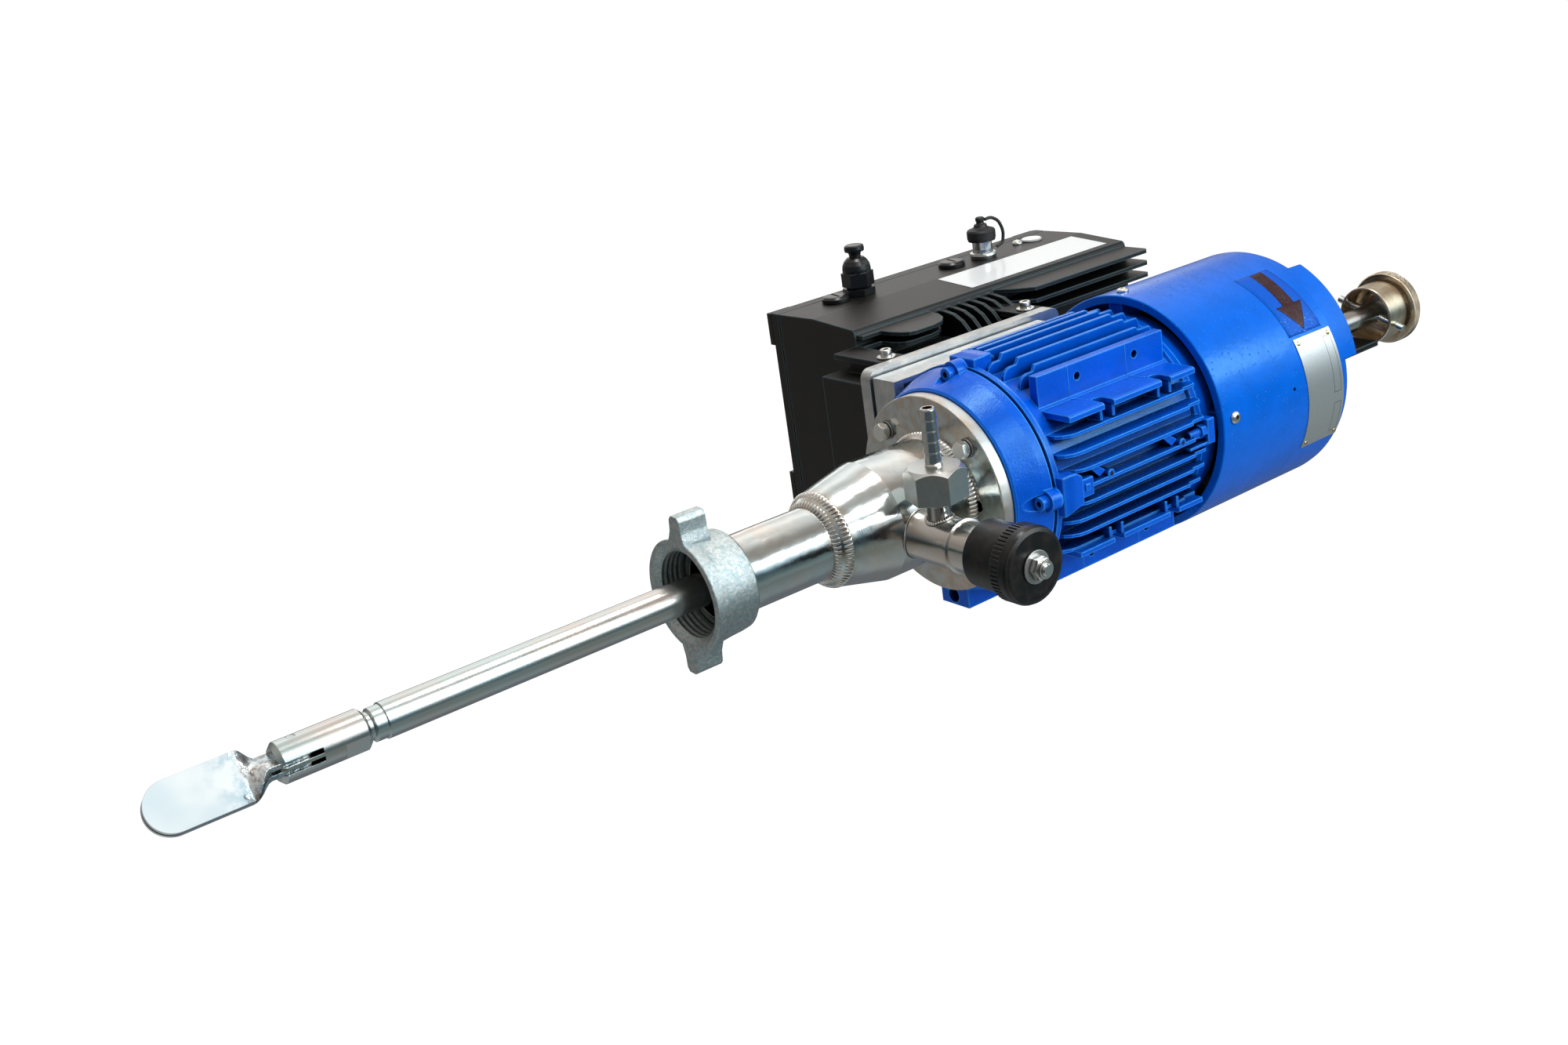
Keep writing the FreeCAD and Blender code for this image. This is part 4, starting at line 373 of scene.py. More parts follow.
heat_front = heat_beside(tube_weld_x, 0.006, 0.014)
heat_rear = heat_beside(flange_weld_x, 0.003, 0.010)
heat = heat_front.maths("MAXIMUM", heat_rear) * lantern.place.noise(120.0, 3.0).step(0.35, 0.65)
lantern_tone = (heat * 0.55).blend(steel_clouds(lantern.place, steel_warm, steel_cool), straw)
# Shade is painted into the lantern's crevices.
lantern.set("Base Color", lantern.crevices(0.010).step(0.15, 0.60).blend(steel_painted_shade, lantern_tone))
flange_rim = from_axis(lantern_y, lantern_z).step(rim_start_radius, rim_end_radius)
lantern.set("Roughness", flange_rim * 0.30 + smears(lantern.place) * 0.20 + 0.05)
dress(lantern.material, "lantern_housing")

# The side valve: a polished turned body on a stub, with a machined union nut and a hose barb.
valve_centre = (0.1634, 0.0, -0.0061)
stub_centre = (0.1619, -0.069, 0.0)
valve_steel = polished_steel("polished_valve", 0.17, (0.64, 0.58, 0.53), (0.60, 0.60, 0.59),
                             centre=valve_centre, axis="y", edge=0.0003, waves=0.0001)
dress(valve_steel.material, "valve_body", "valve_bonnet", "valve_stem")
plain_steel = polished_steel("machined_steel", 0.30, (0.66, 0.64, 0.61), (0.56, 0.62, 0.62),
                             edge=0.0003, waves=0.00003)
dress(plain_steel.material, "hose_nut")
barb_steel = polished_steel("turned_barb", 0.18, (0.66, 0.64, 0.61), (0.58, 0.62, 0.62),
                            centre=stub_centre, axis="z", edge=0.0002, waves=0.00002)
dress(barb_steel.material, "hose_barb")

# The welds: each bead is a row of overlapping scales laid by hand, silvery and slightly tinted.
bead_finish = polished_steel("weld_scales", 0.24, edge=0.0001)
bead_patches = bead_finish.place.noise(120.0, 4.0).step(0.35, 0.65)
bead_tone = bead_patches.blend((0.56, 0.50, 0.44), (0.72, 0.73, 0.72))
# Shade is painted between the scales and at the foot of the bead.
bead_unshaded = bead_finish.crevices(0.0016).step(0.50, 0.95)
bead_finish.set("Base Color", bead_unshaded.blend((0.12, 0.11, 0.10), bead_tone))


def new_piece(name, points, faces, material, smooth):
    """An object made from points in the part's frame and the faces between them."""
    mesh = bpy.data.meshes.new(name)
    mesh.from_pydata(points.reshape(-1, 3).tolist(), [], faces)
    mesh.polygons.foreach_set("use_smooth", np.full(len(mesh.polygons), smooth))
    mesh.materials.append(material)
    made = bpy.data.objects.new(name, mesh)
    bpy.context.collection.objects.link(made)
    return made


def weld_bead(name, path, half_width, height, scales):
    """An oval tube along a closed path: its height follows a row of scales, each bowed at its front edge.

    The scale's phase runs along the path and lags towards the bead's edges, which bows the scales."""
    centre, across, outward = path
    bow = 1.9
    valley = 0.45
    side = np.linspace(0.0, 2 * math.pi, 22, endpoint=False)
    run = np.linspace(0.0, 2 * math.pi, len(centre), endpoint=False)[:, None]
    wander = 0.22 * np.sin(5 * run + 1.0) + 0.15 * np.sin(11 * run)
    phase = run * scales + bow * np.cos(side)[None, :] ** 2 + wander
    scale = 1.0 - np.abs(np.sin(phase / 2)) ** 3
    lift = height * (valley + (1 - valley) * scale + 0.06 * np.sin(7 * run))
    wide = half_width * (1.0 + 0.05 * np.sin(9 * run) + 0.04 * np.sin(scales * run))
    points = (centre[:, None, :] + across[:, None, :] * (wide * np.cos(side)[None, :])[..., None]
              + outward[:, None, :] * (lift * np.sin(side)[None, :])[..., None])
    index = np.arange(len(centre) * len(side)).reshape(len(centre), len(side))
    right = np.roll(index, -1, axis=1)
    faces = np.stack([index, right, np.roll(right, -1, axis=0), np.roll(index, -1, axis=0)], axis=-1)
    made = new_piece(name, points, faces.reshape(-1, 4).tolist(), bead_finish.material, True)
    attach(made, "housing")


def ring_path(x, radius, slope_degrees):
    """A circle about the shaft axis, with a bead direction that slopes from along the axis to outward."""
    angle = np.linspace(0.0, 2 * math.pi, 960, endpoint=False)
    c, s = np.cos(angle), np.sin(angle)
    slope = math.radians(slope_degrees)
    one = np.ones_like(angle)
    centre = np.stack([one * x, radius * c, radius * s], axis=1)
    across = np.stack([one * math.cos(slope), math.sin(slope) * c, math.sin(slope) * s], axis=1)
    outward = np.stack([-one * math.sin(slope), math.cos(slope) * c, math.cos(slope) * s], axis=1)
    return centre, across, outward


for name, weld_x, radius, slope, half_width, height, scales in (
        ("tube_weld_first", 0.0945, 0.0304, 38.0, 0.0044, 0.0019, 62),
        ("tube_weld_second", 0.1003, 0.0350, 42.0, 0.0044, 0.0018, 66),
        ("flange_weld", 0.2133, 0.0492, 35.0, 0.0042, 0.0016, 96)):
    weld_bead(name, ring_path(weld_x, radius, slope), half_width, height, scales)

bulb_radius = 0.0475
valve_radius = 0.0194
stub_radius = 0.009
around = np.linspace(0.0, 2 * math.pi, 480, endpoint=False)
none = np.zeros_like(around)
joint_z = valve_centre[2] + valve_radius * np.sin(around)
joint = np.stack([valve_centre[0] + valve_radius * np.cos(around), -np.sqrt(bulb_radius ** 2 - joint_z ** 2),
                  joint_z], axis=1)
joint_across = np.stack([np.cos(around), none, np.sin(around)], axis=1)
joint_outward = np.stack([none, none - 1, none], axis=1)
weld_bead("valve_weld", (joint, joint_across, joint_outward), half_width=0.0011, height=0.0010, scales=90)
foot_x = stub_centre[0] + stub_radius * np.cos(around)
foot = np.stack([foot_x, stub_centre[1] + stub_radius * np.sin(around),
                 valve_centre[2] + np.sqrt(valve_radius ** 2 - (foot_x - valve_centre[0]) ** 2)], axis=1)
foot_across = np.stack([np.cos(around), np.sin(around), none], axis=1)
foot_outward = np.stack([none, none, none + 1], axis=1)
weld_bead("stub_weld", (foot, foot_across, foot_outward), half_width=0.0024, height=0.0020, scales=34)

# The wing nut: a shot-blasted stainless casting with a machined mouth and thread.
cast = Finish("cast_steel", (0.58, 0.57, 0.55), 0.42, metal=1.0)
cast_grain = cast.place.noise(900.0, 4.0, 0.65)
cast_mottle = cast.place.noise(380.0, 5.0, 0.7).step(0.36, 0.64)
cast_tone = cast_mottle.blend((0.34, 0.45, 0.48), (0.60, 0.62, 0.61))
# Shade is painted dark into the nut's hollows and between its threads.
cast.set("Base Color", cast.crevices(0.03).step(0.25, 0.85).blend((0.10, 0.11, 0.11), cast_tone))
cast.set("Roughness", cast_grain * 0.25 + 0.24)
cast.round_edges(0.0016)
cast.bump(cast_grain, 0.00055)
cast.bump(cast.place.noise(90.0, 2.0), 0.0008)
dress(cast.material, "wing_nut")

# The agitator shaft and its hub: ground stainless bar, polished lengthwise by use.
shaft_finish = polished_steel("ground_shaft", 0.22, (0.60, 0.57, 0.54), (0.54, 0.62, 0.62),
                              waves=0.00004, ring_depth=0.000004)
dress(shaft_finish.material, "agitator_shaft", "blade_hub", "blade_pin", "knob_cross_pin", "hollow_shaft",
      "shaft_clamp_ring")

# The folding blades: mirror-polished plate, with a hammered and heat-stained neck.
mirror = Finish("mirror_blade", (0.80, 0.83, 0.84), 0.06, metal=1.0)
neck_start_x, neck_end_x = -0.352, -0.343
blue_start_x, blue_end_x = -0.372, -0.350
ragged = 0.016
stains = mirror.place.noise(160.0, 4.0, 0.6)
blade_x = mirror.place.parts()[0] + mirror.place.noise(70.0, 2.0) * ragged
neck_share = blade_x.step(neck_start_x, neck_end_x)
blue_share = blade_x.step(blue_start_x, blue_end_x) * mirror.place.noise(90.0, 3.0).step(0.40, 0.62)
blade_skin = mirror.place.noise(26.0, 2.0).step(0.3, 0.7).blend((0.66, 0.75, 0.80), (0.84, 0.87, 0.88))
blade_tone = (blue_share * 0.6).blend(blade_skin, (0.30, 0.50, 0.62))
mirror.set("Base Color", (neck_share * stains.step(0.42, 0.66)).blend(blade_tone, (0.30, 0.27, 0.25)))
mirror.set("Roughness", neck_share * 0.14 + 0.05)
mirror.round_edges(0.0006)
mirror.bump(stains * neck_share, 0.0012)
dress(mirror.material, "blade_upper", "blade_lower")

# The motor castings: aluminium under thick gloss paint of a deep blue, with casting grain under it.
# Behind its collar the drive end shield is slightly hollowed.
motor_blue = (0.0, 0.100, 0.70)


def paint(name, colour, grain, grain_depth, edge, sheen, rough=0.22):
    """Gloss paint: grain under the coat, a faint mottle, a painted highlight on thin edges and painted shade
    in gaps.
    """
    made = Finish(name, colour, rough)
    made.set("IOR", 1.43)
    made.set("Specular Tint", sheen)
    fine = made.place.noise(grain, 3.0)
    mottle = made.place.noise(40.0, 5.0, 0.6).step(0.3, 0.75)
    darker = tuple(v * 0.80 for v in colour)
    # A painted highlight for thin edges, and painted shade for the gaps.
    edge_highlight = (0.05, colour[1] * 4.0, 1.0)
    gap_shade = tuple(v * 0.10 for v in colour)
    skin = made.edges(edge * 1.8).blend(mottle.blend(colour, darker), edge_highlight)
    made.set("Base Color", made.crevices(0.02).step(0.10, 0.72).blend(gap_shade, skin))
    made.set("Roughness", fine * 0.14 + (rough - 0.04))
    made.round_edges(edge)
    made.bump(fine, grain_depth)
    made.bump(made.place.noise(70.0, 2.0), 0.0003)
    return made


# A near-black material of painted shade, for discs that stand in for the depth of holes.
painted_hole_shade = Finish("painted_hole_shade", (0.002, 0.004, 0.02), 0.6).material
castings = paint("cast_blue", motor_blue, grain=700.0, grain_depth=0.00022, edge=0.0010,
                 sheen=(0.36, 0.90, 1.0))
hollow_start_x, hollow_end_x = 0.2595, 0.2740
castings.bump(castings.place.parts()[0].step(hollow_start_x, hollow_end_x), 0.0042)
dress(castings.material, "stator_frame", "drive_end_shield", "rear_end_shield", "end_shield_screws")


# Small forms cast on the motor frame: webs under the slots of the foot ledges, seams where the
# mould halves met, two eye bosses with a wing each and a dark disc of painted shade in each eye, an ear over
# each lug and a bolt at the rear.
def cast_form(name, corners, axis, start, end, edge=0.0007, material=castings.material):
    """A prism: the corners lie across the named axis and appear once at start and once at end."""
    corners = np.asarray(corners, float)
    following = np.roll(corners, -1, axis=0)
    area = np.sum(corners[:, 0] * following[:, 1] - corners[:, 1] * following[:, 0])
    if (area > 0) == (axis == "y"):
        corners = corners[::-1]
    place = "xyz".index(axis)
    ends = [np.insert(corners, place, at, axis=1) for at in (start, end)]
    here = np.arange(len(corners))
    after = np.roll(here, -1)
    sides = np.stack([here, after, after + len(corners), here + len(corners)], axis=1).tolist()
    faces = [here[::-1].tolist(), (here + len(corners)).tolist()] + sides
    made = new_piece(name, np.concatenate(ends), faces, material, False)
    softened = made.modifiers.new("edges", "BEVEL")
    softened.width = edge
    softened.segments = 2
    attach(made, "housing")


def rectangle(low_a, high_a, low_b, high_b):
    return [(low_a, low_b), (high_a, low_b), (high_a, high_b), (low_a, high_b)]


def circle(centre_a, centre_b, radius, count=20, start_degrees=0.0):
    """Corners spaced evenly round a centre."""
    turns = math.radians(start_degrees) + np.linspace(0.0, 2 * math.pi, count, endpoint=False)
    return [(centre_a + radius * math.cos(t), centre_b + radius * math.sin(t)) for t in turns]


pad_holes_x = (0.326, 0.392)
slot_half_width = 0.0055
web = 0.0028
web_span_y = (-0.0885, -0.070)
web_span_z = (0.0440, 0.0545)
seam = 0.0009
seam_offset = 0.0108
plate_seam_y = (-0.0594, -0.0580)
plate_seam_z = (0.058, 0.084)
ledge_seam_z = (0.0578, 0.0584)
for level, side in (("upper", 1), ("lower", -1)):
    for number, hole_x in enumerate(pad_holes_x):
        for edge_sign in (-1, 1):
            web_x = hole_x + edge_sign * (slot_half_width + web / 2)
            web_corners = rectangle(*web_span_y, *sorted(z * side for z in web_span_z))
            cast_form("%s_web_%d_%d" % (level, number, edge_sign + 1), web_corners, "x",
                      web_x - web / 2, web_x + web / 2)
        seam_x = hole_x - seam_offset
        seam_corners = rectangle(*plate_seam_y, *sorted(z * side for z in plate_seam_z))
        cast_form("%s_plate_seam_%d" % (level, number), seam_corners, "x", seam_x, seam_x + seam, 0.0003)
        slant = [(seam_x, -0.059), (seam_x + seam, -0.059), (hole_x - 0.0045, -0.0735),
                 (hole_x - 0.0055, -0.0735)]
        slant_start, slant_end = [z * side for z in ledge_seam_z]
        cast_form("%s_ledge_seam_%d" % (level, number), slant, "z", slant_start, slant_end, 0.0002)

boss_radius = 0.0036
eye_radius = 0.0017
for number, (boss_x, boss_z) in enumerate(((0.3147, 0.0039), (0.3983, 0.0035))):
    cast_form("eye_boss_%d" % number, circle(boss_x, boss_z, boss_radius), "y", -0.0985, -0.080, 0.0006)
    wing = [(boss_x - 0.002, boss_z + 0.003), (boss_x - 0.012, boss_z + 0.010),
            (boss_x - 0.018, boss_z + 0.008), (boss_x - 0.009, boss_z - 0.001)]
    cast_form("eye_wing_%d" % number, wing, "y", -0.0945, -0.080, 0.0008)
    # A thin dark disc in each eye is painted shade standing in for the hole.
    cast_form("eye_hole_shade_%d" % number, circle(boss_x, boss_z, eye_radius), "y", -0.0988, -0.0980, 0.0001,
              painted_hole_shade)

bolt_axis = (-0.0925, 0.0040)
for name, corners, axis, start, end, edge in (
        ("side_ear", [(0.2605, 0.0165), (0.2755, 0.0165), (0.2820, 0.0120), (0.2820, -0.0105),
                      (0.2605, -0.0155)], "y", -0.0996, -0.084, 0.0012),
        ("side_ear_step", rectangle(0.2815, 0.2945, -0.0065, 0.0085), "y", -0.0985, -0.084, 0.0010),
        ("side_ear_notch", rectangle(0.2845, 0.2895, -0.0015, 0.0045), "y", -0.1000, -0.097, 0.0010),
        ("top_ear", [(0.2605, 0.0135), (0.2760, 0.0135), (0.2820, 0.0090), (0.2820, -0.0120),
                     (0.2605, -0.0150)], "z", 0.084, 0.0994, 0.0012),
        ("rear_ear", rectangle(0.4290, 0.4375, -0.0075, 0.0140), "y", -0.0985, -0.082, 0.0010),
        ("rear_ear_foot", rectangle(0.4080, 0.4300, -0.0075, -0.0050), "y", -0.0975, -0.082, 0.0008),
        ("rear_ear_bolt", circle(*bolt_axis, 0.0062, 6, 15.0), "x", 0.4235, 0.4290, 0.0005),
        ("rear_ear_stud", circle(*bolt_axis, 0.0034), "x", 0.4110, 0.4240, 0.0006)):
    cast_form(name, corners, axis, start, end, edge)

# The fan cover: sheet steel in a lighter gloss blue, with dust under and on the coat.
cover_blue = (0.0, 0.122, 0.68)
cover_shade = tuple(v * 0.86 for v in cover_blue)
cover = paint("cover_blue", cover_blue, grain=420.0, grain_depth=0.00006, edge=0.0008,
              sheen=(0.14, 0.84, 1.0), rough=0.20)
dust_share = cover.place.noise(20.0, 3.0).step(0.44, 0.58)
dust = (1 - cover.place.specks(230.0).step(0.12, 0.22)) * dust_share
smudge = cover.place.noise(40.0, 5.0, 0.6).step(0.3, 0.75).blend(cover_blue, cover_shade)
# Shade is painted dark into the cover's crevices.
cover_skin = cover.crevices(0.03).step(0.15, 0.75).blend((0.0, 0.004, 0.04), smudge)
cover.set("Base Color", (dust * 0.6).blend(cover_skin, (0.03, 0.20, 0.62)))
cover.set("Roughness", dust * 0.5 + cover.place.noise(420.0, 3.0) * 0.10 + 0.17)
cover.bump(1 - dust, 0.0004)
dress(cover.material, "fan_cover")


# The direction arrow: printed film stuck round the cover, dark brown-red and speckled, on a
# slightly darker strip of clear film.
def cover_sheet(name, x_places, angles, thickness, material):
    """A sheet bent round the cover: each point's angle becomes a place on the cover's circle."""
    radius = cover_skin_radius + thickness
    angles = np.radians(angles)
    points = np.stack([x_places, radius * np.cos(angles), radius * np.sin(angles)], axis=-1)
    rows, columns = points.shape[:2]
    index = np.arange(rows * columns).reshape(rows, columns)
    faces = np.stack([index[:-1, :-1], index[1:, :-1], index[1:, 1:], index[:-1, 1:]], axis=-1)
    made = new_piece(name, points, faces.reshape(-1, 4).tolist(), material, True)
    wall = made.modifiers.new("wall", "SOLIDIFY")
    wall.thickness = thickness
    wall.offset = 0.0
    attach(made, "housing")


cover_skin_radius = 0.1034
arrow_x = 0.5686
arrow_half_width = 0.0074
head_half_width = 0.0162
tip_half_width = 0.0003
tail_angle, neck_angle, tip_angle = 113.4, 135.9, 149.8
arrow_rows, head_rows = 13, 12
ink = (0.035, 0.012, 0.014)
arrow_ink = Finish("arrow_ink", ink, 0.38)
arrow_ink.set("IOR", 1.28)
ink_specks = 1 - arrow_ink.place.specks(900.0).step(0.10, 0.34)
worn_share = ink_specks * arrow_ink.place.noise(120.0).step(0.42, 0.6)
arrow_ink.set("Base Color", worn_share.blend(ink, (0.22, 0.13, 0.16)))
arrow_ink.bump(arrow_ink.place.noise(900.0, 3.0), 0.0001)
arrow_turns = np.concatenate([np.linspace(tail_angle, neck_angle, arrow_rows),
                              np.linspace(neck_angle, tip_angle, head_rows)])[:, None]
arrow_widths = np.concatenate([np.full(arrow_rows, arrow_half_width),
                               np.linspace(head_half_width, tip_half_width, head_rows)])[:, None]
spread = np.linspace(-1.0, 1.0, 9)[None, :]
cover_sheet("turning_arrow", arrow_x + arrow_widths * spread, arrow_turns + 0 * spread, 0.00022,
            arrow_ink.material)
film_x = 0.5635
film_half_width = 0.0215
film_drift = 0.005
film_start_angle, film_end_angle = 112.9, 151.3
frost_low_z, frost_high_z = 0.058, 0.068
film_blue = (0.001, 0.085, 0.52)
film = Finish("clear_film", film_blue, 0.34)
film.set("IOR", 1.33)
film.set("Specular Tint", (0.3, 0.8, 1.0))
film_creases = film.place.scaled(1, 1, 3).noise(300.0, 5.0, 0.7)
frost = film.place.parts()[2].step(frost_low_z, frost_high_z)
crease_share = (1 - frost) * film_creases.step(0.58, 0.66) * 0.8
film.set("Base Color", crease_share.blend(film_blue, (0.30, 0.52, 0.72)))
film.bump(film_creases, 0.0004)
film_turns = np.linspace(film_start_angle, film_end_angle, 26)[:, None]
film_lean = (film_turns - film_start_angle) / (film_end_angle - film_start_angle) * film_drift
cover_sheet("arrow_film", film_x + film_lean + film_half_width * spread, film_turns + 0 * spread, 0.00010,
            film.material)

# The nameplate: satin aluminium, left bare apart from ruled empty boxes, on four domed rivets.
plate = Finish("bare_plate", (0.60, 0.61, 0.60), 0.36, metal=0.85)
plate_edge_x = 0.5526
plate_lean = 0.0694
line_start, line_end = 0.00016, 0.00034


def beyond(place, centre, half_width):
    """Distance outside a band about a centre, and below 0 inside it."""
    return (place - centre).maths("ABSOLUTE") - half_width


plate_place = plate.place.parts()
across_plate = plate_place[0] + plate_place[2] * plate_lean - plate_edge_x
box_sides = beyond(across_plate, centre=0.0398, half_width=0.0046)
upper_box = beyond(plate_place[2], centre=0.0170, half_width=0.0245)
lower_box = beyond(plate_place[2], centre=-0.0310, half_width=0.0135)
box_edge = box_sides.maths("MAXIMUM", upper_box.maths("MINIMUM", lower_box))
box_line = 1 - box_edge.maths("ABSOLUTE").step(line_start, line_end)
plate_tone = plate.place.noise(500.0, 4.0, 0.7).blend((0.50, 0.54, 0.56), (0.68, 0.69, 0.68))
plate.set("Base Color", (box_line * 0.85).blend(plate_tone, (0.03, 0.03, 0.03)))
plate.bump(plate.place.noise(1400.0, 2.0), 0.00008)
dress(plate.material, "nameplate")
rivet = Finish("rivet_brass", (0.62, 0.52, 0.30), 0.28, metal=1.0)
rivet.bump(rivet.place.noise(900.0), 0.0001)
dress(rivet.material, "nameplate_rivets")

# Zinc-plated screws and washers, and the bright bolts of the motor flange.
zinc = Finish("zinc", (0.66, 0.65, 0.61), 0.26, metal=1.0)
zinc_patches = zinc.place.noise(200.0, 4.0).step(0.3, 0.7).blend((0.86, 0.84, 0.79), (0.66, 0.68, 0.67))
# Shade is painted into the crevices of the screws and washers.
zinc.set("Base Color", zinc.crevices(0.005).step(0.2, 0.7).blend((0.06, 0.06, 0.06), zinc_patches))
zinc.set("Roughness", zinc.place.noise(500.0, 3.0) * 0.2 + 0.17)
zinc.round_edges(0.0004)
zinc.bump(zinc.place.noise(1200.0, 2.0), 0.00006)
dress(zinc.material, "fan_cover_screws", "inverter_screws", "inverter_washers", "lid_screws", "window_screw")
bolt_steel = polished_steel("bright_bolts", 0.20, (0.86, 0.83, 0.78), (0.74, 0.76, 0.75), edge=0.0002,
                            waves=0.00004)
dress(bolt_steel.material, "flange_bolts")

# Dull zinc washers, and the valve knob's lock nut with a blue nylon ring round the stem.
washer_zinc = Finish("dull_zinc", (0.40, 0.40, 0.39), 0.42, metal=1.0)
# Shade is painted into the washers' crevices.
washer_unshaded = washer_zinc.crevices(0.004).step(0.3, 0.9)
washer_zinc.set("Base Color", washer_unshaded.blend((0.10, 0.10, 0.10), (0.46, 0.46, 0.45)))
washer_zinc.round_edges(0.0004)
dress(washer_zinc.material, "knob_washer", "flange_washers")
lock_nut = Finish("lock_nut", (0.72, 0.71, 0.68), 0.24, metal=1.0)
nut_place = lock_nut.place.moved(*[-v for v in valve_centre]).parts()
nut_radius = from_axis(nut_place[0], nut_place[2])
nylon = (1 - nut_radius.step(0.0046, 0.0049)) * nut_radius.step(0.0034, 0.0037)
# Shade is painted into the nut's crevices.
nut_tone = lock_nut.crevices(0.004).step(0.3, 0.9).blend((0.10, 0.10, 0.10), (0.74, 0.73, 0.70))
lock_nut.set("Base Color", nylon.blend(nut_tone, (0.01, 0.07, 0.30)))
lock_nut.set("Metallic", 1 - nylon)
lock_nut.round_edges(0.0005)
dress(lock_nut.material, "knob_lock_nut")

# The bronze hand knob, with a dull turned face and a diamond-knurled rim.
bronze = Finish("bronze", (0.55, 0.46, 0.32), 0.34, metal=1.0)
knurl_count = 68.0
knurl_slope = 1963.0
rim_start_x, rim_end_x = 0.8114, 0.8120
bronze_rings = turned_rings(bronze.place)
bronze_x, bronze_y, bronze_z = bronze.place.parts()
bronze_turn = bronze_y.maths("ARCTAN2", bronze_z) * knurl_count
first_groove = (bronze_turn + bronze_x * knurl_slope).maths("SINE").maths("ABSOLUTE")
second_groove = (bronze_turn - bronze_x * knurl_slope).maths("SINE").maths("ABSOLUTE")
on_rim = bronze_x.step(rim_start_x, rim_end_x)
knurl = (1 - on_rim) + on_rim * first_groove.maths("MINIMUM", second_groove)
bronze_tone = bronze.place.noise(70.0, 5.0).step(0.35, 0.7).blend((0.78, 0.68, 0.53), (0.56, 0.45, 0.31))
# Shade is painted into the crevices and into the grooves of the knurl.
bronze_unshaded = bronze.crevices(0.012).step(0.15, 0.65)
bronze.set("Base Color", (bronze_unshaded * knurl.step(0.0, 0.45)).blend((0.10, 0.07, 0.045), bronze_tone))
bronze.set("Roughness", bronze_rings * 0.18 + 0.20)
bronze.round_edges(0.0006)
bronze.bump(knurl, 0.0006)
bronze.bump(bronze_rings, 0.00006)
dress(bronze.material, "rear_knob", "shaft_guide_bush")

# The side valve's black phenolic knob.
phenolic = Finish("phenolic", (0.005, 0.005, 0.006), 0.30)
phenolic.set("IOR", 1.40)
phenolic_patches = phenolic.place.noise(90.0, 5.0).step(0.4, 0.75)
phenolic_skin = phenolic_patches.blend((0.004, 0.005, 0.006), (0.020, 0.016, 0.013))
# A painted highlight on the knob's edges, and painted shade in its crevices.
phenolic_edge_highlight = phenolic.edges(0.0007).blend(phenolic_skin, (0.10, 0.105, 0.11))
phenolic.set("Base Color", phenolic.crevices(0.003).step(0.35, 0.95).blend((0.0, 0.0, 0.0), phenolic_edge_highlight))
phenolic.round_edges(0.0006)
phenolic.bump(phenolic.place.noise(800.0, 3.0), 0.00008)
dress(phenolic.material, "valve_knob")

# The raw aluminium terminal block and adapter plate, and the inverter's castings and the motor's
# stop bar in black powder coat. A painted highlight makes the coat paler on the nearer edges.
raw = Finish("raw_aluminium", (0.60, 0.60, 0.59), 0.38, metal=1.0)
raw_patches = raw.place.noise(50.0, 5.0, 0.65).step(0.3, 0.7)
raw.set("Base Color", raw_patches.blend((0.64, 0.63, 0.61), (0.44, 0.47, 0.48)))
raw.set("Roughness", raw.place.scaled(1, 1, 8).noise(300.0, 3.0) * 0.25 + 0.25)
raw.round_edges(0.0008)
raw.bump(raw.place.noise(500.0, 3.0), 0.0002)
dress(raw.material, "terminal_block", "adapter_plate")
black = Finish("black_powder", (0.006, 0.006, 0.006), 0.42)
black.set("IOR", 1.42)
grain = black.place.noise(1600.0, 2.0)
black_skin = black.place.noise(30.0, 4.0).step(0.35, 0.7).blend((0.001, 0.001, 0.001), (0.004, 0.003, 0.002))
edge_highlight_end_y, black_start_y = 0.296, 0.300
# A painted highlight on the nearer edges, and painted shade in the crevices.
black_edge_highlight = black.edges(0.0026) * (1 - black.place.parts()[1].step(edge_highlight_end_y, black_start_y))
black_tone = black_edge_highlight.blend(black_skin, (0.060, 0.105, 0.120))
black.set("Base Color", black.crevices(0.02).step(0.1, 0.7).blend((0.001, 0.001, 0.001), black_tone))
black.set("Roughness", grain * 0.22 + 0.30)
black.round_edges(0.0012)
black.bump(grain, 0.00022)
dress(black.material, "inverter_body", "inverter_lid", "rear_stop_bar")

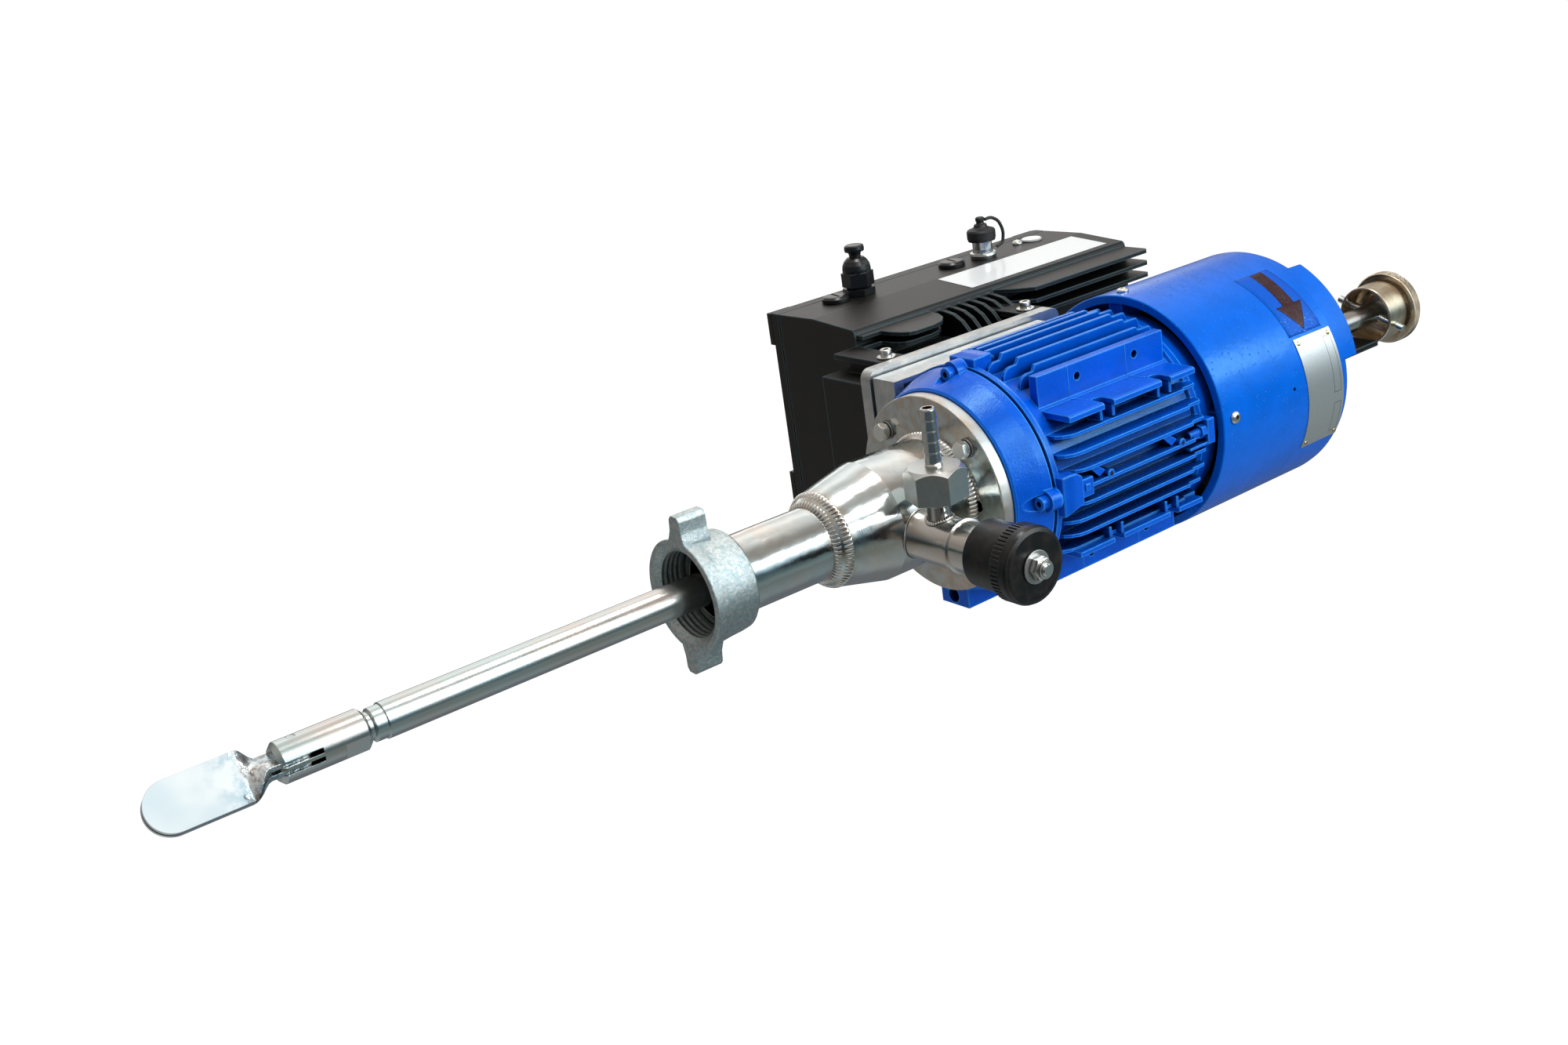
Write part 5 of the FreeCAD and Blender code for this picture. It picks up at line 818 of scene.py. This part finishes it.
# Moulded black plastic and rubber: gland, plugs, cap, seals and the fan. The connector's socket
# is plated with nickel.
moulded = Finish("moulded_black", (0.004, 0.005, 0.006), 0.30)
moulded.round_edges(0.0006)
moulded.bump(moulded.place.noise(700.0, 3.0), 0.00008)
dress(moulded.material, "cable_gland_body", "gland_cap_nut", "gland_plug", "blanking_plugs", "cooling_fan")
rubber = Finish("rubber", (0.006, 0.006, 0.007), 0.50)
rubber.round_edges(0.0006)
rubber.bump(rubber.place.noise(900.0, 3.0), 0.0001)
dress(rubber.material, "connector_cap", "cap_strap", "adapter_gasket", "lid_gasket", "shaft_seal")
nickel = polished_steel("nickel", 0.20, (0.62, 0.60, 0.56), (0.56, 0.58, 0.58))
dress(nickel.material, "connector_socket")

# The bare label strip, the clear window and what is inside the motor and the inverter.
label = Finish("bare_label", (0.80, 0.81, 0.81), 0.36, coat=0.4)
label.set("Base Color", label.place.noise(200.0, 3.0).blend((0.82, 0.84, 0.84), (0.90, 0.90, 0.89)))
dress(label.material, "rating_label")
window = Finish("window_lens", (0.55, 0.57, 0.55), 0.12, coat=0.8)
window.set("Base Color", window.place.noise(90.0, 3.0).blend((0.40, 0.42, 0.41), (0.62, 0.63, 0.61)))
dress(window.material, "inspection_window")
laminations = Finish("laminations", (0.12, 0.12, 0.125), 0.5, metal=0.9)
lamination_rate = 9000.0
laminations.bump((laminations.place.parts()[0] * lamination_rate).maths("SINE"), 0.0002)
dress(laminations.material, "stator_core", "rotor_core")
copper = Finish("varnished_copper", (0.42, 0.16, 0.06), 0.3, metal=0.6)
copper.bump(copper.place.noise(300.0, 3.0), 0.001)
dress(copper.material, "winding_heads")
race = polished_steel("bearing_race", 0.12, (0.66, 0.66, 0.66), (0.60, 0.61, 0.62))
dress(race.material, "front_bearing", "rear_bearing")
laminate = Finish("board_laminate", (0.02, 0.16, 0.06), 0.35)
laminate.set("Base Color", laminate.place.noise(400.0).blend((0.015, 0.13, 0.05), (0.03, 0.20, 0.08)))
dress(laminate.material, "circuit_board")
